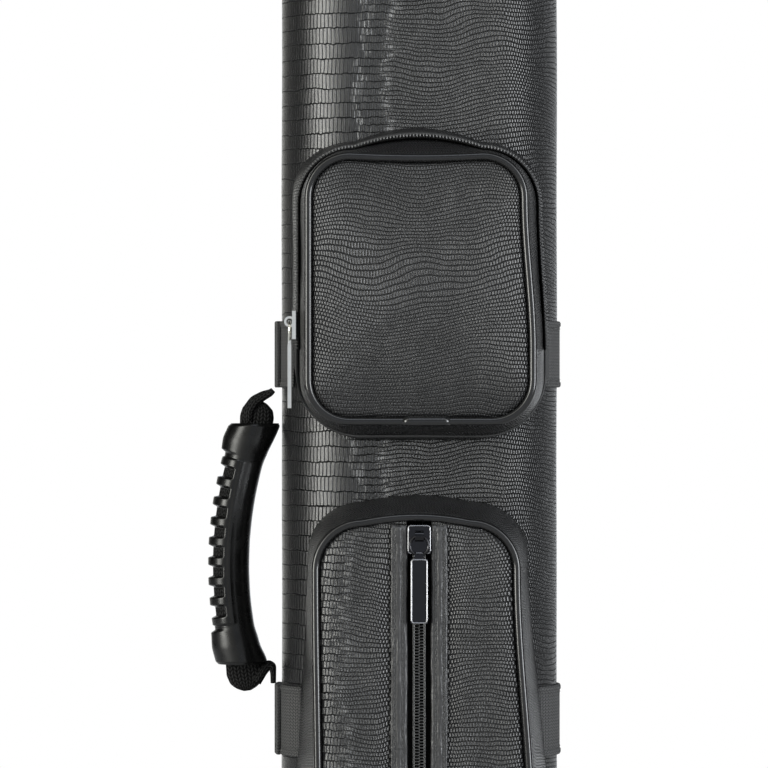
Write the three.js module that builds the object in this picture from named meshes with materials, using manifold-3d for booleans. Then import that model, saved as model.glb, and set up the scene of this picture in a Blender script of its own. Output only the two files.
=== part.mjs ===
// A hard cue case with room for three butts and five shafts. It stands upright on its boot.
// Units are millimetres: +Z is up, the front with its two pockets faces -Y, and the handle is at -X.
// The origin is the middle of the boot's underside.
import * as THREE from 'three';
import { mergeVertices } from 'three/addons/utils/BufferGeometryUtils.js';
import Module from 'manifold-3d';

const wasm = await Module();
wasm.setup();

// ---- driving dimensions ----
const GAP = 0.3; // between pieces that lie on each other
const CASE_WIDTH = 150;
const CASE_DEPTH = 84;
const CASE_HEIGHT = 864;
const R_COVER = CASE_DEPTH / 2; // radius of the oval's round ends, outside the cover
const STRAIGHT = CASE_WIDTH / 2 - R_COVER; // half of the oval's straight sides
const COVER_T = 1.2;
const SHELL_T = 3;
const LINER_T = 3.2;
const R_SHELL = R_COVER - COVER_T - GAP;
const R_LINER = R_SHELL - SHELL_T - GAP;
const R_CAVITY = R_LINER - LINER_T;

const BOOT = { height: 32, floor: 4, wall: 1.9 };
const FLOOR_PAD_T = 12;
const JOINT_Z = 744; // the body's mouth, where the lid begins
const RIM_T = 3.7;
const COLLAR = { rise: 9, seat: 17, clearance: 1.6, wall: 1.9 };
const DIVIDER_T = 3;
const DIVIDER_TOP = 716;
const BUTT_ROW_BACK = 1; // y where the row of butts ends
const BUTT_DIVIDER_X = 18.5;
const SHAFT_DIVIDER_X = [-36, -12, 12, 36];
const SHAFT_DIVIDER_T = 2.4;

const LID_TOP_T = 3;
const LID_CROWN_T = 3;
const LID_PAD_T = 8;
const HINGE_STRIP = { width: 64, thickness: 1.5, leaf: 32 };
const LID_GAP = 0.6;

const TAB = { width: 34, thickness: 2, top: 784, bottom: 727, anchorHeight: 16 };
const SNAP = { radius: 6, thickness: 1.2, z: 737, capRadius: 7, capThickness: 2 };

const BAND_T = 1.2;
// Each band's height, and half the width of its opening at the front, where the pocket is.
const UPPER_BAND = { bottom: 516, top: 552, openHalf: 70.8 };
const LOWER_BAND = { bottom: 317, top: 355, openHalf: 72.3 };

const FRONT = -CASE_DEPTH / 2; // y of the case's flat front
const GUSSET_T = 2;
const FACE_T = 2.5;
const PIPING_T = 4.4;
// Each pocket outline is its size, its corners' radius, the rise of its top edge in the middle, and the
// length over which its sides flare from the shoulders down.
const UPPER_BASE = {
  left: -70.25, right: 69.5, leftTop: -70.25, rightTop: 66, bottom: 478, top: 659, radius: 36,
  bottomRadius: 62, arch: 10, flare: 80,
};
const UPPER_SEAM = {
  left: -63.8, right: 65.6, leftTop: -63.8, rightTop: 62, bottom: 492.5, top: 642, radius: 29,
  arch: 6, flare: 80,
};
const UPPER_FACE = {
  left: -61.3, right: 61.4, leftTop: -61.3, rightTop: 57, bottom: 496, top: 640, radius: 24,
  arch: -1, flare: 80,
};
const UPPER_SEAM_REACH = 17; // how far the zip's line stands in front of the case
const POCKET_REACH = 35.5; // how far both pockets' side walls stand in front of the case
const UPPER_ZIP = { width: 3.2, thickness: 1.5, endZ: 535 };

const LOWER_BASE = {
  left: -70, right: 71, leftTop: -61, rightTop: 61, bottom: 56, top: 463, radius: 32, arch: 4,
  flare: 140,
};
const LOWER_FACE = {
  left: -56, right: 60.5, leftTop: -57.5, rightTop: 53, bottom: 66, top: 447, radius: 27,
  arch: 3, flare: 140,
};
const LOWER_ZIP = { x: -0.7, slot: 6.5, coil: 4, coilT: 2.6, tape: 15, tapeT: 1, bottom: 78, top: 443.5 };
const ZIP_STRIP = { width: 8.5, thickness: 1 };

const SLIDER = {
  width: 12, length: 15, plate: 2, flange: 1.6, bridgeWidth: 4.6, bridgeIn: 1.7,
  bridgeOut: 2.9,
};
const LOWER_SKIRT = 1.5; // how far the lower slider's side flanges reach down past its plate
const PULL = { ring: 5, wire: 0.8, neck: 5, neckLength: 1.5, width: 9, length: 34, thickness: 2 };
const LOWER_SLIDER_Z = 438;
const UPPER_SLIDER_Z = 551;
const BAR_RISE = 1.4; // the pull's bar stands this far in front of the slider's plate

const HANDLE_AXIS_X = -79.5;
const GRIP_LINE = [[-89.3, 496.5], [-113.2, 431], [-96.3, 365.5]]; // x, z of the grip's quadratic centreline
const GRIP = { across: 21.5, deep: 23, ribRise: 1, ribs: 9, ribWidth: 4.4, firstRib: 0.174, lastRib: 0.812 };
const WEBBING = { across: 6, deep: 15, neck: 5.4 };
const ANCHOR = { halfWidth: 11, thickness: 2 };

const STRAP_RINGS = { upper: 663, lower: 132 }; // height of each ring's bar
const STRAP_TAB = { width: 28, plate: 2, height: 38, loop: 7, bore: 2.7 };
const D_RING = { inside: 30, drop: 22, wire: 3.2 };

// ---- helpers ----
function solid(geometry) {
  const bare = geometry.index ? geometry.toNonIndexed() : geometry.clone();
  bare.deleteAttribute('normal');
  bare.deleteAttribute('uv');
  const merged = mergeVertices(bare, 1e-3);
  return new wasm.Manifold(new wasm.Mesh({
    numProp: 3,
    vertProperties: merged.attributes.position.array,
    triVerts: new Uint32Array(merged.index.array),
  }));
}

function geometryOf(made) {
  const mesh = made.getMesh();
  const geometry = new THREE.BufferGeometry();
  geometry.setAttribute('position', new THREE.BufferAttribute(new Float32Array(mesh.vertProperties), 3));
  geometry.setIndex(new THREE.BufferAttribute(new Uint32Array(mesh.triVerts), 1));
  geometry.computeVertexNormals();
  return geometry;
}

function box(x0, x1, y0, y1, z0, z1) {
  return new THREE.BoxGeometry(x1 - x0, y1 - y0, z1 - z0)
    .translate((x0 + x1) / 2, (y0 + y1) / 2, (z0 + z1) / 2);
}

// The case's oval in plan: straight front and back with round ends of the given radius.
function oval(radius, Kind = THREE.Shape) {
  const path = new Kind();
  path.moveTo(-STRAIGHT, -radius);
  path.lineTo(STRAIGHT, -radius);
  path.absarc(STRAIGHT, 0, radius, -Math.PI / 2, Math.PI / 2, false);
  path.lineTo(-STRAIGHT, radius);
  path.absarc(-STRAIGHT, 0, radius, Math.PI / 2, 1.5 * Math.PI, false);
  return path;
}

const OVAL_SEGMENTS = 14;

function ovalPlate(radius, z0, z1) {
  const settings = { depth: z1 - z0, bevelEnabled: false, curveSegments: OVAL_SEGMENTS };
  return new THREE.ExtrudeGeometry(oval(radius), settings).translate(0, 0, z0);
}

function ovalRing(outer, inner, z0, z1) {
  const shape = oval(outer);
  shape.holes.push(oval(inner, THREE.Path));
  const settings = { depth: z1 - z0, bevelEnabled: false, curveSegments: OVAL_SEGMENTS };
  return new THREE.ExtrudeGeometry(shape, settings).translate(0, 0, z0);
}

// A pocket's outline seen from the front: its sides may flare from the shoulders down to full width.
function pocketOutline(o, inset = 0, Kind = THREE.Shape) {
  const left = o.left + inset;
  const right = o.right - inset;
  const leftTop = (o.leftTop ?? o.left) + inset;
  const rightTop = (o.rightTop ?? o.right) - inset;
  const bottom = o.bottom + inset;
  const top = o.top - inset;
  const r = o.radius - inset;
  const low = (o.bottomRadius ?? o.radius) - inset;
  const shoulder = top - r;
  const flareEnd = shoulder - (o.flare ?? 40);
  const bend = (shoulder - flareEnd) / 3;
  const path = new Kind();
  path.moveTo(left + low, bottom);
  path.lineTo(right - low, bottom);
  path.absarc(right - low, bottom + low, low, -Math.PI / 2, 0, false);
  path.lineTo(right, flareEnd);
  path.bezierCurveTo(right, flareEnd + bend, rightTop, shoulder - bend, rightTop, shoulder);
  path.absarc(rightTop - r, shoulder, r, 0, Math.PI / 2, false);
  path.quadraticCurveTo((leftTop + rightTop) / 2, top + 2 * o.arch, leftTop + r, top);
  path.absarc(leftTop + r, shoulder, r, Math.PI / 2, Math.PI, false);
  path.bezierCurveTo(leftTop, shoulder - bend, left, flareEnd + bend, left, flareEnd);
  path.lineTo(left, bottom + low);
  path.absarc(left + low, bottom + low, low, Math.PI, 1.5 * Math.PI, false);
  return path;
}

const POCKET_SEGMENTS = 6;

// Extrudes an outline of x and z forwards, from reach f0 to f1 in front of the case.
function forwards(shape, f0, f1) {
  const settings = { depth: f1 - f0, bevelEnabled: false, curveSegments: POCKET_SEGMENTS };
  return new THREE.ExtrudeGeometry(shape, settings).rotateX(Math.PI / 2).translate(0, FRONT - f0, 0);
}

// A wall that follows one outline at the back and another at the front, of even thickness.
function pocketWall(back, front, thickness, f0, f1) {
  const withHole = (o) => {
    const shape = pocketOutline(o);
    shape.holes.push(pocketOutline(o, thickness, THREE.Path));
    return shape;
  };
  const distinct = (loop) => loop.filter((p, i) => p.distanceTo(loop.at(i - 1)) > 1e-6);
  const points = (o) => {
    const found = withHole(o).extractPoints(POCKET_SEGMENTS);
    return [found.shape, ...found.holes].flatMap(distinct);
  };
  const from = points(back);
  const to = points(front);
  const geometry = forwards(withHole(back), f0, f1);
  const at = geometry.getAttribute('position');
  for (let i = 0; i < at.count; i++) {
    if (Math.abs(at.getY(i) - (FRONT - f1)) > 1e-4) continue;
    const k = from.findIndex((p) => Math.hypot(p.x - at.getX(i), p.y - at.getZ(i)) < 1e-3);
    at.setX(i, to[k].x);
    at.setZ(i, to[k].y);
  }
  return geometry;
}

function pocketRing(o, width, f0, f1) {
  const shape = pocketOutline(o);
  shape.holes.push(pocketOutline(o, width, THREE.Path));
  return forwards(shape, f0, f1);
}

const grow = (o, by) => ({
  ...o,
  left: o.left - by,
  right: o.right + by,
  leftTop: o.leftTop - by,
  rightTop: o.rightTop + by,
  bottom: o.bottom - by,
  top: o.top + by,
  radius: o.radius + by,
});

// ---- materials ----
function look(color, roughness, metalness = 0) {
  return new THREE.MeshStandardMaterial({ color, roughness, metalness });
}
const leatherette = look(0x2b2c2e, 0.45);
const plainVinyl = look(0x303032, 0.6);
const pipingVinyl = look(0x17181a, 0.35);
const webbing = look(0x131313, 0.9);
const plush = look(0x1d1d20, 0.95);
const foam = look(0x26262a, 0.95);
const shellPlastic = look(0x151517, 0.55);
const gripPlastic = look(0x111112, 0.4);
const zipNylon = look(0x121214, 0.5);
const chrome = look(0xc9c9c6, 0.18, 1);
const gunmetal = look(0x2a2a2c, 0.25, 1);

const group = new THREE.Group();

function add(name, geometry, material, parent = group) {
  const mesh = new THREE.Mesh(geometry, material);
  mesh.name = name;
  parent.add(mesh);
  return mesh;
}

// ---- the rigid body, from the outside in ----
function addBody() {
  const bottom = BOOT.floor + GAP;
  const top = JOINT_Z - RIM_T - GAP;
  const bootRadius = R_COVER + GAP + BOOT.wall;
  add('boot_sole', ovalPlate(bootRadius, 0, BOOT.floor), plainVinyl);
  add('boot_wall', ovalRing(bootRadius, R_COVER + GAP, bottom, BOOT.height), plainVinyl);
  add('body_cover', ovalRing(R_COVER, R_COVER - COVER_T, bottom, top), leatherette);

  const tube = solid(ovalRing(R_SHELL, R_SHELL - SHELL_T, bottom, top));
  const half = (y0, y1) => solid(box(-CASE_WIDTH, CASE_WIDTH, y0, y1, -1, CASE_HEIGHT));
  add('shell_front', geometryOf(tube.intersect(half(-CASE_DEPTH, -GAP / 2))), shellPlastic);
  add('shell_back', geometryOf(tube.intersect(half(GAP / 2, CASE_DEPTH))), shellPlastic);

  const padTop = bottom + FLOOR_PAD_T;
  const collarFoot = JOINT_Z - RIM_T - COLLAR.seat;
  add('floor_pad', ovalPlate(R_LINER, bottom, padTop), foam);
  add('liner', ovalRing(R_LINER, R_CAVITY, padTop + GAP, collarFoot - GAP), plush);
  const seat = solid(ovalRing(R_LINER, R_CAVITY, collarFoot, top));
  const spigotOuter = R_SHELL - SHELL_T - COLLAR.clearance;
  const spigot = solid(ovalRing(spigotOuter, spigotOuter - COLLAR.wall, collarFoot, JOINT_Z + COLLAR.rise));
  add('mouth_collar', geometryOf(seat.add(spigot)), plush);
  add('body_rim', ovalRing(R_COVER, R_LINER, JOINT_Z - RIM_T, JOINT_Z), pipingVinyl);
  return padTop + GAP;
}

// Padded walls that make three cells for butts in front and five for shafts behind.
function addDividers(floor) {
  const ovalX = (y) => STRAIGHT + Math.sqrt(R_CAVITY ** 2 - y ** 2);
  const ovalY = (x) => Math.sqrt(R_CAVITY ** 2 - Math.max(0, Math.abs(x) - STRAIGHT) ** 2);
  const wallFront = BUTT_ROW_BACK + GAP;
  const wallBack = wallFront + DIVIDER_T;
  const wallX = ovalX(wallBack) - GAP;
  add('divider_wall', box(-wallX, wallX, wallFront, wallBack, floor, DIVIDER_TOP), plush);
  for (const [side, name] of [[-1, 'butt_divider_left'], [1, 'butt_divider_right']]) {
    const x = side * BUTT_DIVIDER_X;
    const half = DIVIDER_T / 2;
    add(name, box(x - half, x + half, GAP - R_CAVITY, BUTT_ROW_BACK, floor, DIVIDER_TOP), plush);
  }
  SHAFT_DIVIDER_X.forEach((x, i) => {
    const reach = ovalY(Math.abs(x) + SHAFT_DIVIDER_T / 2) - GAP;
    const half = SHAFT_DIVIDER_T / 2;
    add(`shaft_divider_${i + 1}`, box(x - half, x + half, wallBack + GAP, reach, floor, DIVIDER_TOP), plush);
  });
}

// ---- lid ----
function addLid() {
  const bottom = JOINT_Z + LID_GAP;
  const rimTop = bottom + RIM_T;
  const crownFoot = CASE_HEIGHT - LID_CROWN_T;
  const plateFoot = crownFoot - GAP - LID_TOP_T;
  const wallTop = plateFoot - GAP;
  add('lid_rim', ovalRing(R_COVER, R_LINER, bottom, rimTop), pipingVinyl);
  add('lid_cover', ovalRing(R_COVER, R_COVER - COVER_T, rimTop + GAP, crownFoot - GAP), leatherette);
  add('lid_crown', ovalPlate(R_COVER, crownFoot, CASE_HEIGHT), leatherette);
  add('lid_top_plate', ovalPlate(R_SHELL, plateFoot, plateFoot + LID_TOP_T), shellPlastic);

  const tube = solid(ovalRing(R_SHELL, R_SHELL - SHELL_T, rimTop + GAP, wallTop));
  const half = (y0, y1) => solid(box(-CASE_WIDTH, CASE_WIDTH, y0, y1, -1, CASE_HEIGHT));
  add('lid_shell_front', geometryOf(tube.intersect(half(-CASE_DEPTH, -GAP / 2))), shellPlastic);
  add('lid_shell_back', geometryOf(tube.intersect(half(GAP / 2, CASE_DEPTH))), shellPlastic);

  const padFoot = wallTop - LID_PAD_T;
  const linerFoot = JOINT_Z + COLLAR.rise + 3;
  add('lid_pad', ovalPlate(R_LINER, padFoot, wallTop), foam);
  add('lid_liner', ovalRing(R_LINER, R_CAVITY, linerFoot, padFoot - GAP), plush);

  const leafY = R_COVER + GAP;
  const leafHalf = HINGE_STRIP.width / 2;
  const leaf = (z0, z1) => box(-leafHalf, leafHalf, leafY, leafY + HINGE_STRIP.thickness, z0, z1);
  add('hinge_strip_body', leaf(JOINT_Z - HINGE_STRIP.leaf, JOINT_Z), leatherette);
  add('hinge_strip_lid', leaf(bottom, bottom + HINGE_STRIP.leaf), leatherette);
}

// ---- closure tab: a strap on the lid whose magnet holds on a steel keeper on the body ----
function disc(radius, thickness, yBack, z) {
  return new THREE.CylinderGeometry(radius, radius, thickness, 32).translate(0, yBack - thickness / 2, z);
}

function addClosure() {
  const keeperY = FRONT - GAP;
  const magnetY = keeperY - SNAP.thickness - GAP;
  const strapY = magnetY - SNAP.thickness - GAP;
  const half = TAB.width / 2;
  const anchorFoot = TAB.top - TAB.anchorHeight;
  const strapTop = anchorFoot - GAP;
  add('keeper_plate', disc(SNAP.radius, SNAP.thickness, keeperY, SNAP.z), chrome);
  add('tab_magnet', disc(SNAP.radius, SNAP.thickness, magnetY, SNAP.z), chrome);
  add('tab_anchor', box(-half, half, strapY - TAB.thickness, keeperY, anchorFoot, TAB.top), plainVinyl);
  const outline = new THREE.Shape();
  outline.moveTo(-half, strapTop);
  outline.lineTo(-half, TAB.bottom + half);
  outline.absarc(0, TAB.bottom + half, half, Math.PI, 2 * Math.PI, false);
  outline.lineTo(half, strapTop);
  const reach = FRONT - strapY;
  add('closure_tab', forwards(outline, reach, reach + TAB.thickness), plainVinyl);
  add('tab_cap', disc(SNAP.capRadius, SNAP.capThickness, strapY - TAB.thickness - GAP, SNAP.z), gunmetal);
}

// ---- bands round the case ----
function addBands() {
  const inner = R_COVER + GAP;
  for (const [name, band] of [['upper_band', UPPER_BAND], ['lower_band', LOWER_BAND]]) {
    const ring = solid(ovalRing(inner + BAND_T, inner, band.bottom, band.top));
    const opening = solid(box(-band.openHalf, band.openHalf, -CASE_DEPTH, 0, 0, CASE_HEIGHT));
    add(name, geometryOf(ring.subtract(opening)), plainVinyl);
  }
}

// ---- pockets ----
function addUpperPocket(column) {
  const seamBack = UPPER_SEAM_REACH - 0.2;
  const seamFront = UPPER_SEAM_REACH + 0.2;
  const base = solid(pocketWall(UPPER_BASE, UPPER_SEAM, GUSSET_T, -34, seamBack));
  const berthBack = seamBack - UPPER_ZIP.width - GAP;
  const berth = solid(pocketRing(grow(UPPER_SEAM, 3), 3, berthBack, UPPER_SEAM_REACH)); // room for the chain
  add('upper_pocket_base_gusset', geometryOf(base.subtract(column).subtract(berth)), leatherette);
  const flap = pocketWall(UPPER_SEAM, UPPER_FACE, GUSSET_T, seamFront, POCKET_REACH);
  add('upper_pocket_flap_gusset', flap, leatherette);

  const outline = grow(UPPER_SEAM, UPPER_ZIP.thickness + GAP);
  const below = solid(box(-CASE_WIDTH, CASE_WIDTH, -CASE_DEPTH * 2, 0, 0, UPPER_ZIP.endZ));
  const loop = (f0, f1) => solid(pocketRing(outline, UPPER_ZIP.thickness, f0, f1));
  const chain = (f0, f1) => geometryOf(loop(f0, f1).subtract(below));
  add('upper_zip_chain_base', chain(seamBack - UPPER_ZIP.width, seamBack), zipNylon);
  add('upper_zip_chain_flap', chain(seamFront, seamFront + UPPER_ZIP.width), zipNylon);

  const pipingBack = POCKET_REACH + GAP;
  add('upper_pocket_piping', pocketRing(UPPER_FACE, PIPING_T, pipingBack, pipingBack + PIPING_T), pipingVinyl);
  const face = pocketOutline(UPPER_FACE, PIPING_T + GAP);
  add('upper_pocket_face', forwards(face, pipingBack, pipingBack + FACE_T), leatherette);
}

function addLowerPocket(column) {
  const wall = solid(pocketWall(LOWER_BASE, LOWER_FACE, GUSSET_T, -34, POCKET_REACH));
  add('lower_pocket_gusset', geometryOf(wall.subtract(column)), leatherette);
  const back = POCKET_REACH + GAP;
  const front = back + FACE_T;
  add('lower_pocket_piping', pocketRing(LOWER_FACE, PIPING_T, back, back + PIPING_T), pipingVinyl);

  const { x, slot, coil, coilT, tape, tapeT, bottom, top } = LOWER_ZIP;
  const face = solid(forwards(pocketOutline(LOWER_FACE, PIPING_T + GAP), back, front));
  const side = (x0, x1) => solid(box(x0, x1, -CASE_WIDTH, 0, 0, CASE_HEIGHT));
  add('lower_pocket_panel_left', geometryOf(face.intersect(side(-CASE_WIDTH, x - slot))), leatherette);
  add('lower_pocket_panel_right', geometryOf(face.intersect(side(x + slot, CASE_WIDTH))), leatherette);

  const y = (f) => FRONT - f;
  const stripFront = front + GAP + ZIP_STRIP.thickness;
  const strip = (x0, x1) => box(x0, x1, y(stripFront), y(front + GAP), bottom, top);
  add('zip_strip_left', strip(x - slot - ZIP_STRIP.width, x - slot), leatherette);
  add('zip_strip_right', strip(x + slot, x + slot + ZIP_STRIP.width), leatherette);
  add('lower_zip_tape', box(x - tape, x + tape, y(back - GAP), y(back - GAP - tapeT), bottom, top), webbing);
  add('lower_zip_coil', box(x - coil, x + coil, y(back + coilT), y(back), bottom, top), zipNylon);
  return back + coilT;
}

// ---- zip sliders and pulls, made facing -Y with the pull's bar on the origin's X axis ----
function sliderGeometry(skirt) {
  const { width, length, plate, flange, bridgeWidth, bridgeIn, bridgeOut } = SLIDER;
  const half = width / 2;
  const front = BAR_RISE; // y of the plate's front face, behind the bar
  const low = -length * 0.62;
  const high = length * 0.38;
  let made = solid(box(-half, half, front, front + plate, low, high));
  for (const side of skirt ? [-1, 1] : []) {
    const x = side * (half - flange / 2);
    const lip = box(x - flange / 2, x + flange / 2, front + plate - 0.5, front + plate + skirt, low, high);
    made = made.add(solid(lip));
  }
  const arch = new THREE.Shape();
  arch.absarc(0, 0, bridgeOut, 0, 2 * Math.PI, false);
  const bore = new THREE.Path();
  bore.absarc(0, 0, bridgeIn, 0, 2 * Math.PI, true);
  arch.holes.push(bore);
  const settings = { depth: bridgeWidth, bevelEnabled: false, curveSegments: 20 };
  const bridge = new THREE.ExtrudeGeometry(arch, settings).translate(0, 0, -bridgeWidth / 2);
  const hoop = solid(bridge.rotateY(Math.PI / 2));
  const behind = solid(box(-half, half, front + 0.6, front + 8, low * 2, high * 2));
  return geometryOf(made.add(hoop.subtract(behind)));
}

function pullGeometry() {
  const { ring, wire, neck, neckLength, width, length, thickness } = PULL;
  const hoop = solid(new THREE.TorusGeometry(ring, wire, 8, 20).rotateX(Math.PI / 2).translate(0, 0, -ring));
  const neckTop = -2 * ring - wire / 2;
  const plateTop = neckTop - neckLength;
  const stem = solid(box(-neck / 2, neck / 2, -wire, wire, plateTop - 1, neckTop + wire));
  const plate = solid(box(-width / 2, width / 2, -thickness / 2, thickness / 2, plateTop - length, plateTop));
  const rim = 1.6;
  const panel = box(rim - width / 2, width / 2 - rim, -thickness, 0.6 - thickness / 2, rim - length, -rim);
  return geometryOf(hoop.add(stem).add(plate).subtract(solid(panel.translate(0, 0, plateTop))));
}

function addZipHardware(lowerCoilReach) {
  const pull = pullGeometry();
  const barReach = GAP + SLIDER.plate + BAR_RISE;
  const lower = new THREE.Group();
  lower.position.set(LOWER_ZIP.x, FRONT - lowerCoilReach - barReach, LOWER_SLIDER_Z);
  add('lower_zip_slider', sliderGeometry(LOWER_SKIRT), gunmetal, lower);
  add('lower_zip_pull', pull, gunmetal, lower);

  const upper = new THREE.Group();
  const chainX = UPPER_SEAM.left - UPPER_ZIP.thickness - GAP;
  upper.position.set(chainX - barReach, FRONT - UPPER_SEAM_REACH, UPPER_SLIDER_Z);
  upper.rotation.z = -Math.PI / 2;
  add('upper_zip_slider', sliderGeometry(0), chrome, upper);
  add('upper_zip_pull', pull.clone(), chrome, upper);
  group.add(lower, upper);
}

// ---- handle: a moulded grip threaded on webbing, which swings on its two anchors ----
function sweep(points, section, steps) {
  const curve = points instanceof THREE.Curve ? points : new THREE.CatmullRomCurve3(points);
  const settings = { extrudePath: curve, steps, bevelEnabled: false, curveSegments: 7 };
  return new THREE.ExtrudeGeometry(section, settings);
}

function ellipse(a, b) {
  const shape = new THREE.Shape();
  shape.absellipse(0, 0, a, b, 0, 2 * Math.PI, false, 0);
  return shape;
}

function addHandle() {
  const [a, b, c] = GRIP_LINE.map(([x, z]) => new THREE.Vector3(x, 0, z));
  const line = new THREE.QuadraticBezierCurve3(a, b, c);
  // A flat curve's sweep puts the section's x across the curve's plane and its y in that plane.
  let grip = solid(sweep(line, ellipse(GRIP.deep / 2, GRIP.across / 2), 18));

  const place = (geometry, t) => {
    const p = line.getPoint(t);
    const d = line.getTangent(t);
    return geometry.rotateY(Math.atan2(-d.x, -d.z)).translate(p.x, 0, p.z);
  };
  const pitch = (GRIP.lastRib - GRIP.firstRib) / (GRIP.ribs - 1);
  const halfAcross = GRIP.across / 2;
  const halfDeep = GRIP.deep / 2;
  const outerSide = solid(box(-GRIP.across, -1, -GRIP.deep, GRIP.deep, -GRIP.ribWidth, GRIP.ribWidth));
  const ribDisc = new THREE.CylinderGeometry(1, 1, GRIP.ribWidth, 20).rotateX(Math.PI / 2)
    .scale(halfAcross + GRIP.ribRise, halfDeep + GRIP.ribRise / 2, 1);
  const rib = geometryOf(solid(ribDisc).intersect(outerSide));
  const windowHeight = pitch * (a.z - c.z) - GRIP.ribWidth;
  const windows = [];
  for (let i = 0; i < GRIP.ribs; i++) {
    const t = GRIP.firstRib + i * pitch;
    grip = grip.add(solid(place(rib.clone(), t)));
    if (i === GRIP.ribs - 1) continue;
    // Each window is cut through the outer side as far as the webbing.
    const window = box(-GRIP.across, -1, -GRIP.deep, GRIP.deep, -windowHeight / 2, windowHeight / 2);
    windows.push(solid(place(window, t + pitch / 2)));
  }
  const before = a.clone().lerp(line.getPoint(0.05), -1.6);
  const after = c.clone().lerp(line.getPoint(0.95), -1.6);
  const core = [before, ...line.getPoints(10), after];
  const channel = solid(sweep(core, ellipse(WEBBING.deep / 2 + GAP, WEBBING.across / 2 + GAP), 22));
  grip = grip.subtract(channel);
  for (const window of windows) grip = grip.subtract(window);
  add('handle_grip', geometryOf(grip), gripPlastic);

  const neckTop = UPPER_BAND.bottom - GAP;
  const neckFoot = LOWER_BAND.top + GAP;
  const v = (x, z) => new THREE.Vector3(x, 0, z);
  const through = [v(a.x + 1.8, a.z + 7), ...line.getPoints(10), v(c.x + 1.2, c.z - 6)];
  let strap = solid(sweep(through, ellipse(WEBBING.deep / 2, WEBBING.across / 2), 22));
  const neck = ellipse(WEBBING.neck / 2, WEBBING.neck / 2);
  const upper = [v(a.x + 1, a.z + 4), v(a.x + 4.5, a.z + 11.5), v(HANDLE_AXIS_X, neckTop - 5),
    v(HANDLE_AXIS_X, neckTop)];
  const lower = [v(c.x + 1, c.z - 3), v(c.x + 5, c.z - 12.5), v(HANDLE_AXIS_X - 6.5, neckFoot - 6.2),
    v(HANDLE_AXIS_X - 1, neckFoot + 6.5), v(HANDLE_AXIS_X, neckFoot)];
  strap = strap.add(solid(sweep(upper, neck, 14))).add(solid(sweep(lower, neck, 18)));
  add('handle_webbing', geometryOf(strap), webbing);

  const anchorIn = R_COVER + 2 * GAP + BAND_T;
  const side = solid(box(-CASE_WIDTH, 0, -ANCHOR.halfWidth, ANCHOR.halfWidth, 0, CASE_HEIGHT));
  for (const [name, band] of [['handle_anchor_upper', UPPER_BAND], ['handle_anchor_lower', LOWER_BAND]]) {
    const ring = solid(ovalRing(anchorIn + ANCHOR.thickness, anchorIn, band.bottom, band.top));
    add(name, geometryOf(ring.intersect(side)), webbing);
  }
}

// ---- rings for a shoulder strap, hanging in webbing tabs on the back ----
function addStrapRing(where, barZ) {
  const { width, plate, height, loop, bore } = STRAP_TAB;
  const back = R_COVER + GAP;
  const barY = back + loop / 2;
  const half = width / 2;
  const reach = loop / 2 + 1;
  const hole = new THREE.CylinderGeometry(bore, bore, width + 2, 20).rotateZ(Math.PI / 2).translate(0, barY, barZ);
  const tab = solid(box(-half, half, back, back + plate, barZ, barZ + height))
    .add(solid(box(-half, half, back, back + loop, barZ - loop / 2, barZ + reach)))
    .subtract(solid(hole));
  add(`strap_tab_${where}`, geometryOf(tab), webbing);

  const inner = D_RING.inside / 2;
  const d = (grown, Kind) => {
    const path = new Kind();
    const x = inner + grown;
    path.moveTo(-x, grown);
    path.lineTo(-x, -D_RING.drop / 3);
    path.bezierCurveTo(-x, -D_RING.drop - grown * 1.4, x, -D_RING.drop - grown * 1.4, x, -D_RING.drop / 3);
    path.lineTo(x, grown);
    return path;
  };
  const shape = d(D_RING.wire, THREE.Shape);
  shape.holes.push(d(0, THREE.Path));
  const settings = { depth: D_RING.wire, bevelEnabled: false, curveSegments: 14 };
  const ring = new THREE.ExtrudeGeometry(shape, settings).translate(0, -D_RING.wire / 2, -D_RING.wire / 2)
    .rotateX(Math.PI / 2).translate(0, barY, barZ);
  add(`strap_ring_${where}`, ring, gunmetal);
}

const floor = addBody();
addDividers(floor);
addLid();
addClosure();
addBands();
const column = solid(ovalPlate(R_COVER + GAP, 0, CASE_HEIGHT));
addUpperPocket(column);
addZipHardware(addLowerPocket(column));
addHandle();
for (const [where, barZ] of Object.entries(STRAP_RINGS)) addStrapRing(where, barZ);

export default group;
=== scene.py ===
"""Looks of the cue case: soft covers, piping, zips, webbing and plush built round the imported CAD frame.

Lengths are millimetres in the frame's axes until a mesh is made: +Z up, front at -Y.
"""

import math
from collections import namedtuple

import bmesh
import bpy
import numpy as np
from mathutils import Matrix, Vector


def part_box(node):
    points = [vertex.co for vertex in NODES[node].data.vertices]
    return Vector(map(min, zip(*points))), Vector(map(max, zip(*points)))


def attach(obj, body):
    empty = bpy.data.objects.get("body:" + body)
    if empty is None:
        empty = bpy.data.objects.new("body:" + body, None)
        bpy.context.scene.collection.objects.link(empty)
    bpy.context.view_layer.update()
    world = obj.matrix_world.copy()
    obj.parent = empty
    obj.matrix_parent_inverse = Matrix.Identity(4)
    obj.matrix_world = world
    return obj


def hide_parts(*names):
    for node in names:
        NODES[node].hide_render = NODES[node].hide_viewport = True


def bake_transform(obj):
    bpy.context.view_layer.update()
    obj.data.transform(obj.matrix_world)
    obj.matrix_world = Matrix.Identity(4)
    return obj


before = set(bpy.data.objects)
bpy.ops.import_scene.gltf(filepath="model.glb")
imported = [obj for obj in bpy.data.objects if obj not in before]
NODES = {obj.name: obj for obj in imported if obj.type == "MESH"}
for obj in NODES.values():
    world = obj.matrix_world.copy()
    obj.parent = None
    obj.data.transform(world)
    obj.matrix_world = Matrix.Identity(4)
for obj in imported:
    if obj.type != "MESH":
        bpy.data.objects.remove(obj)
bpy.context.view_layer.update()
MM = 0.001

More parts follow.
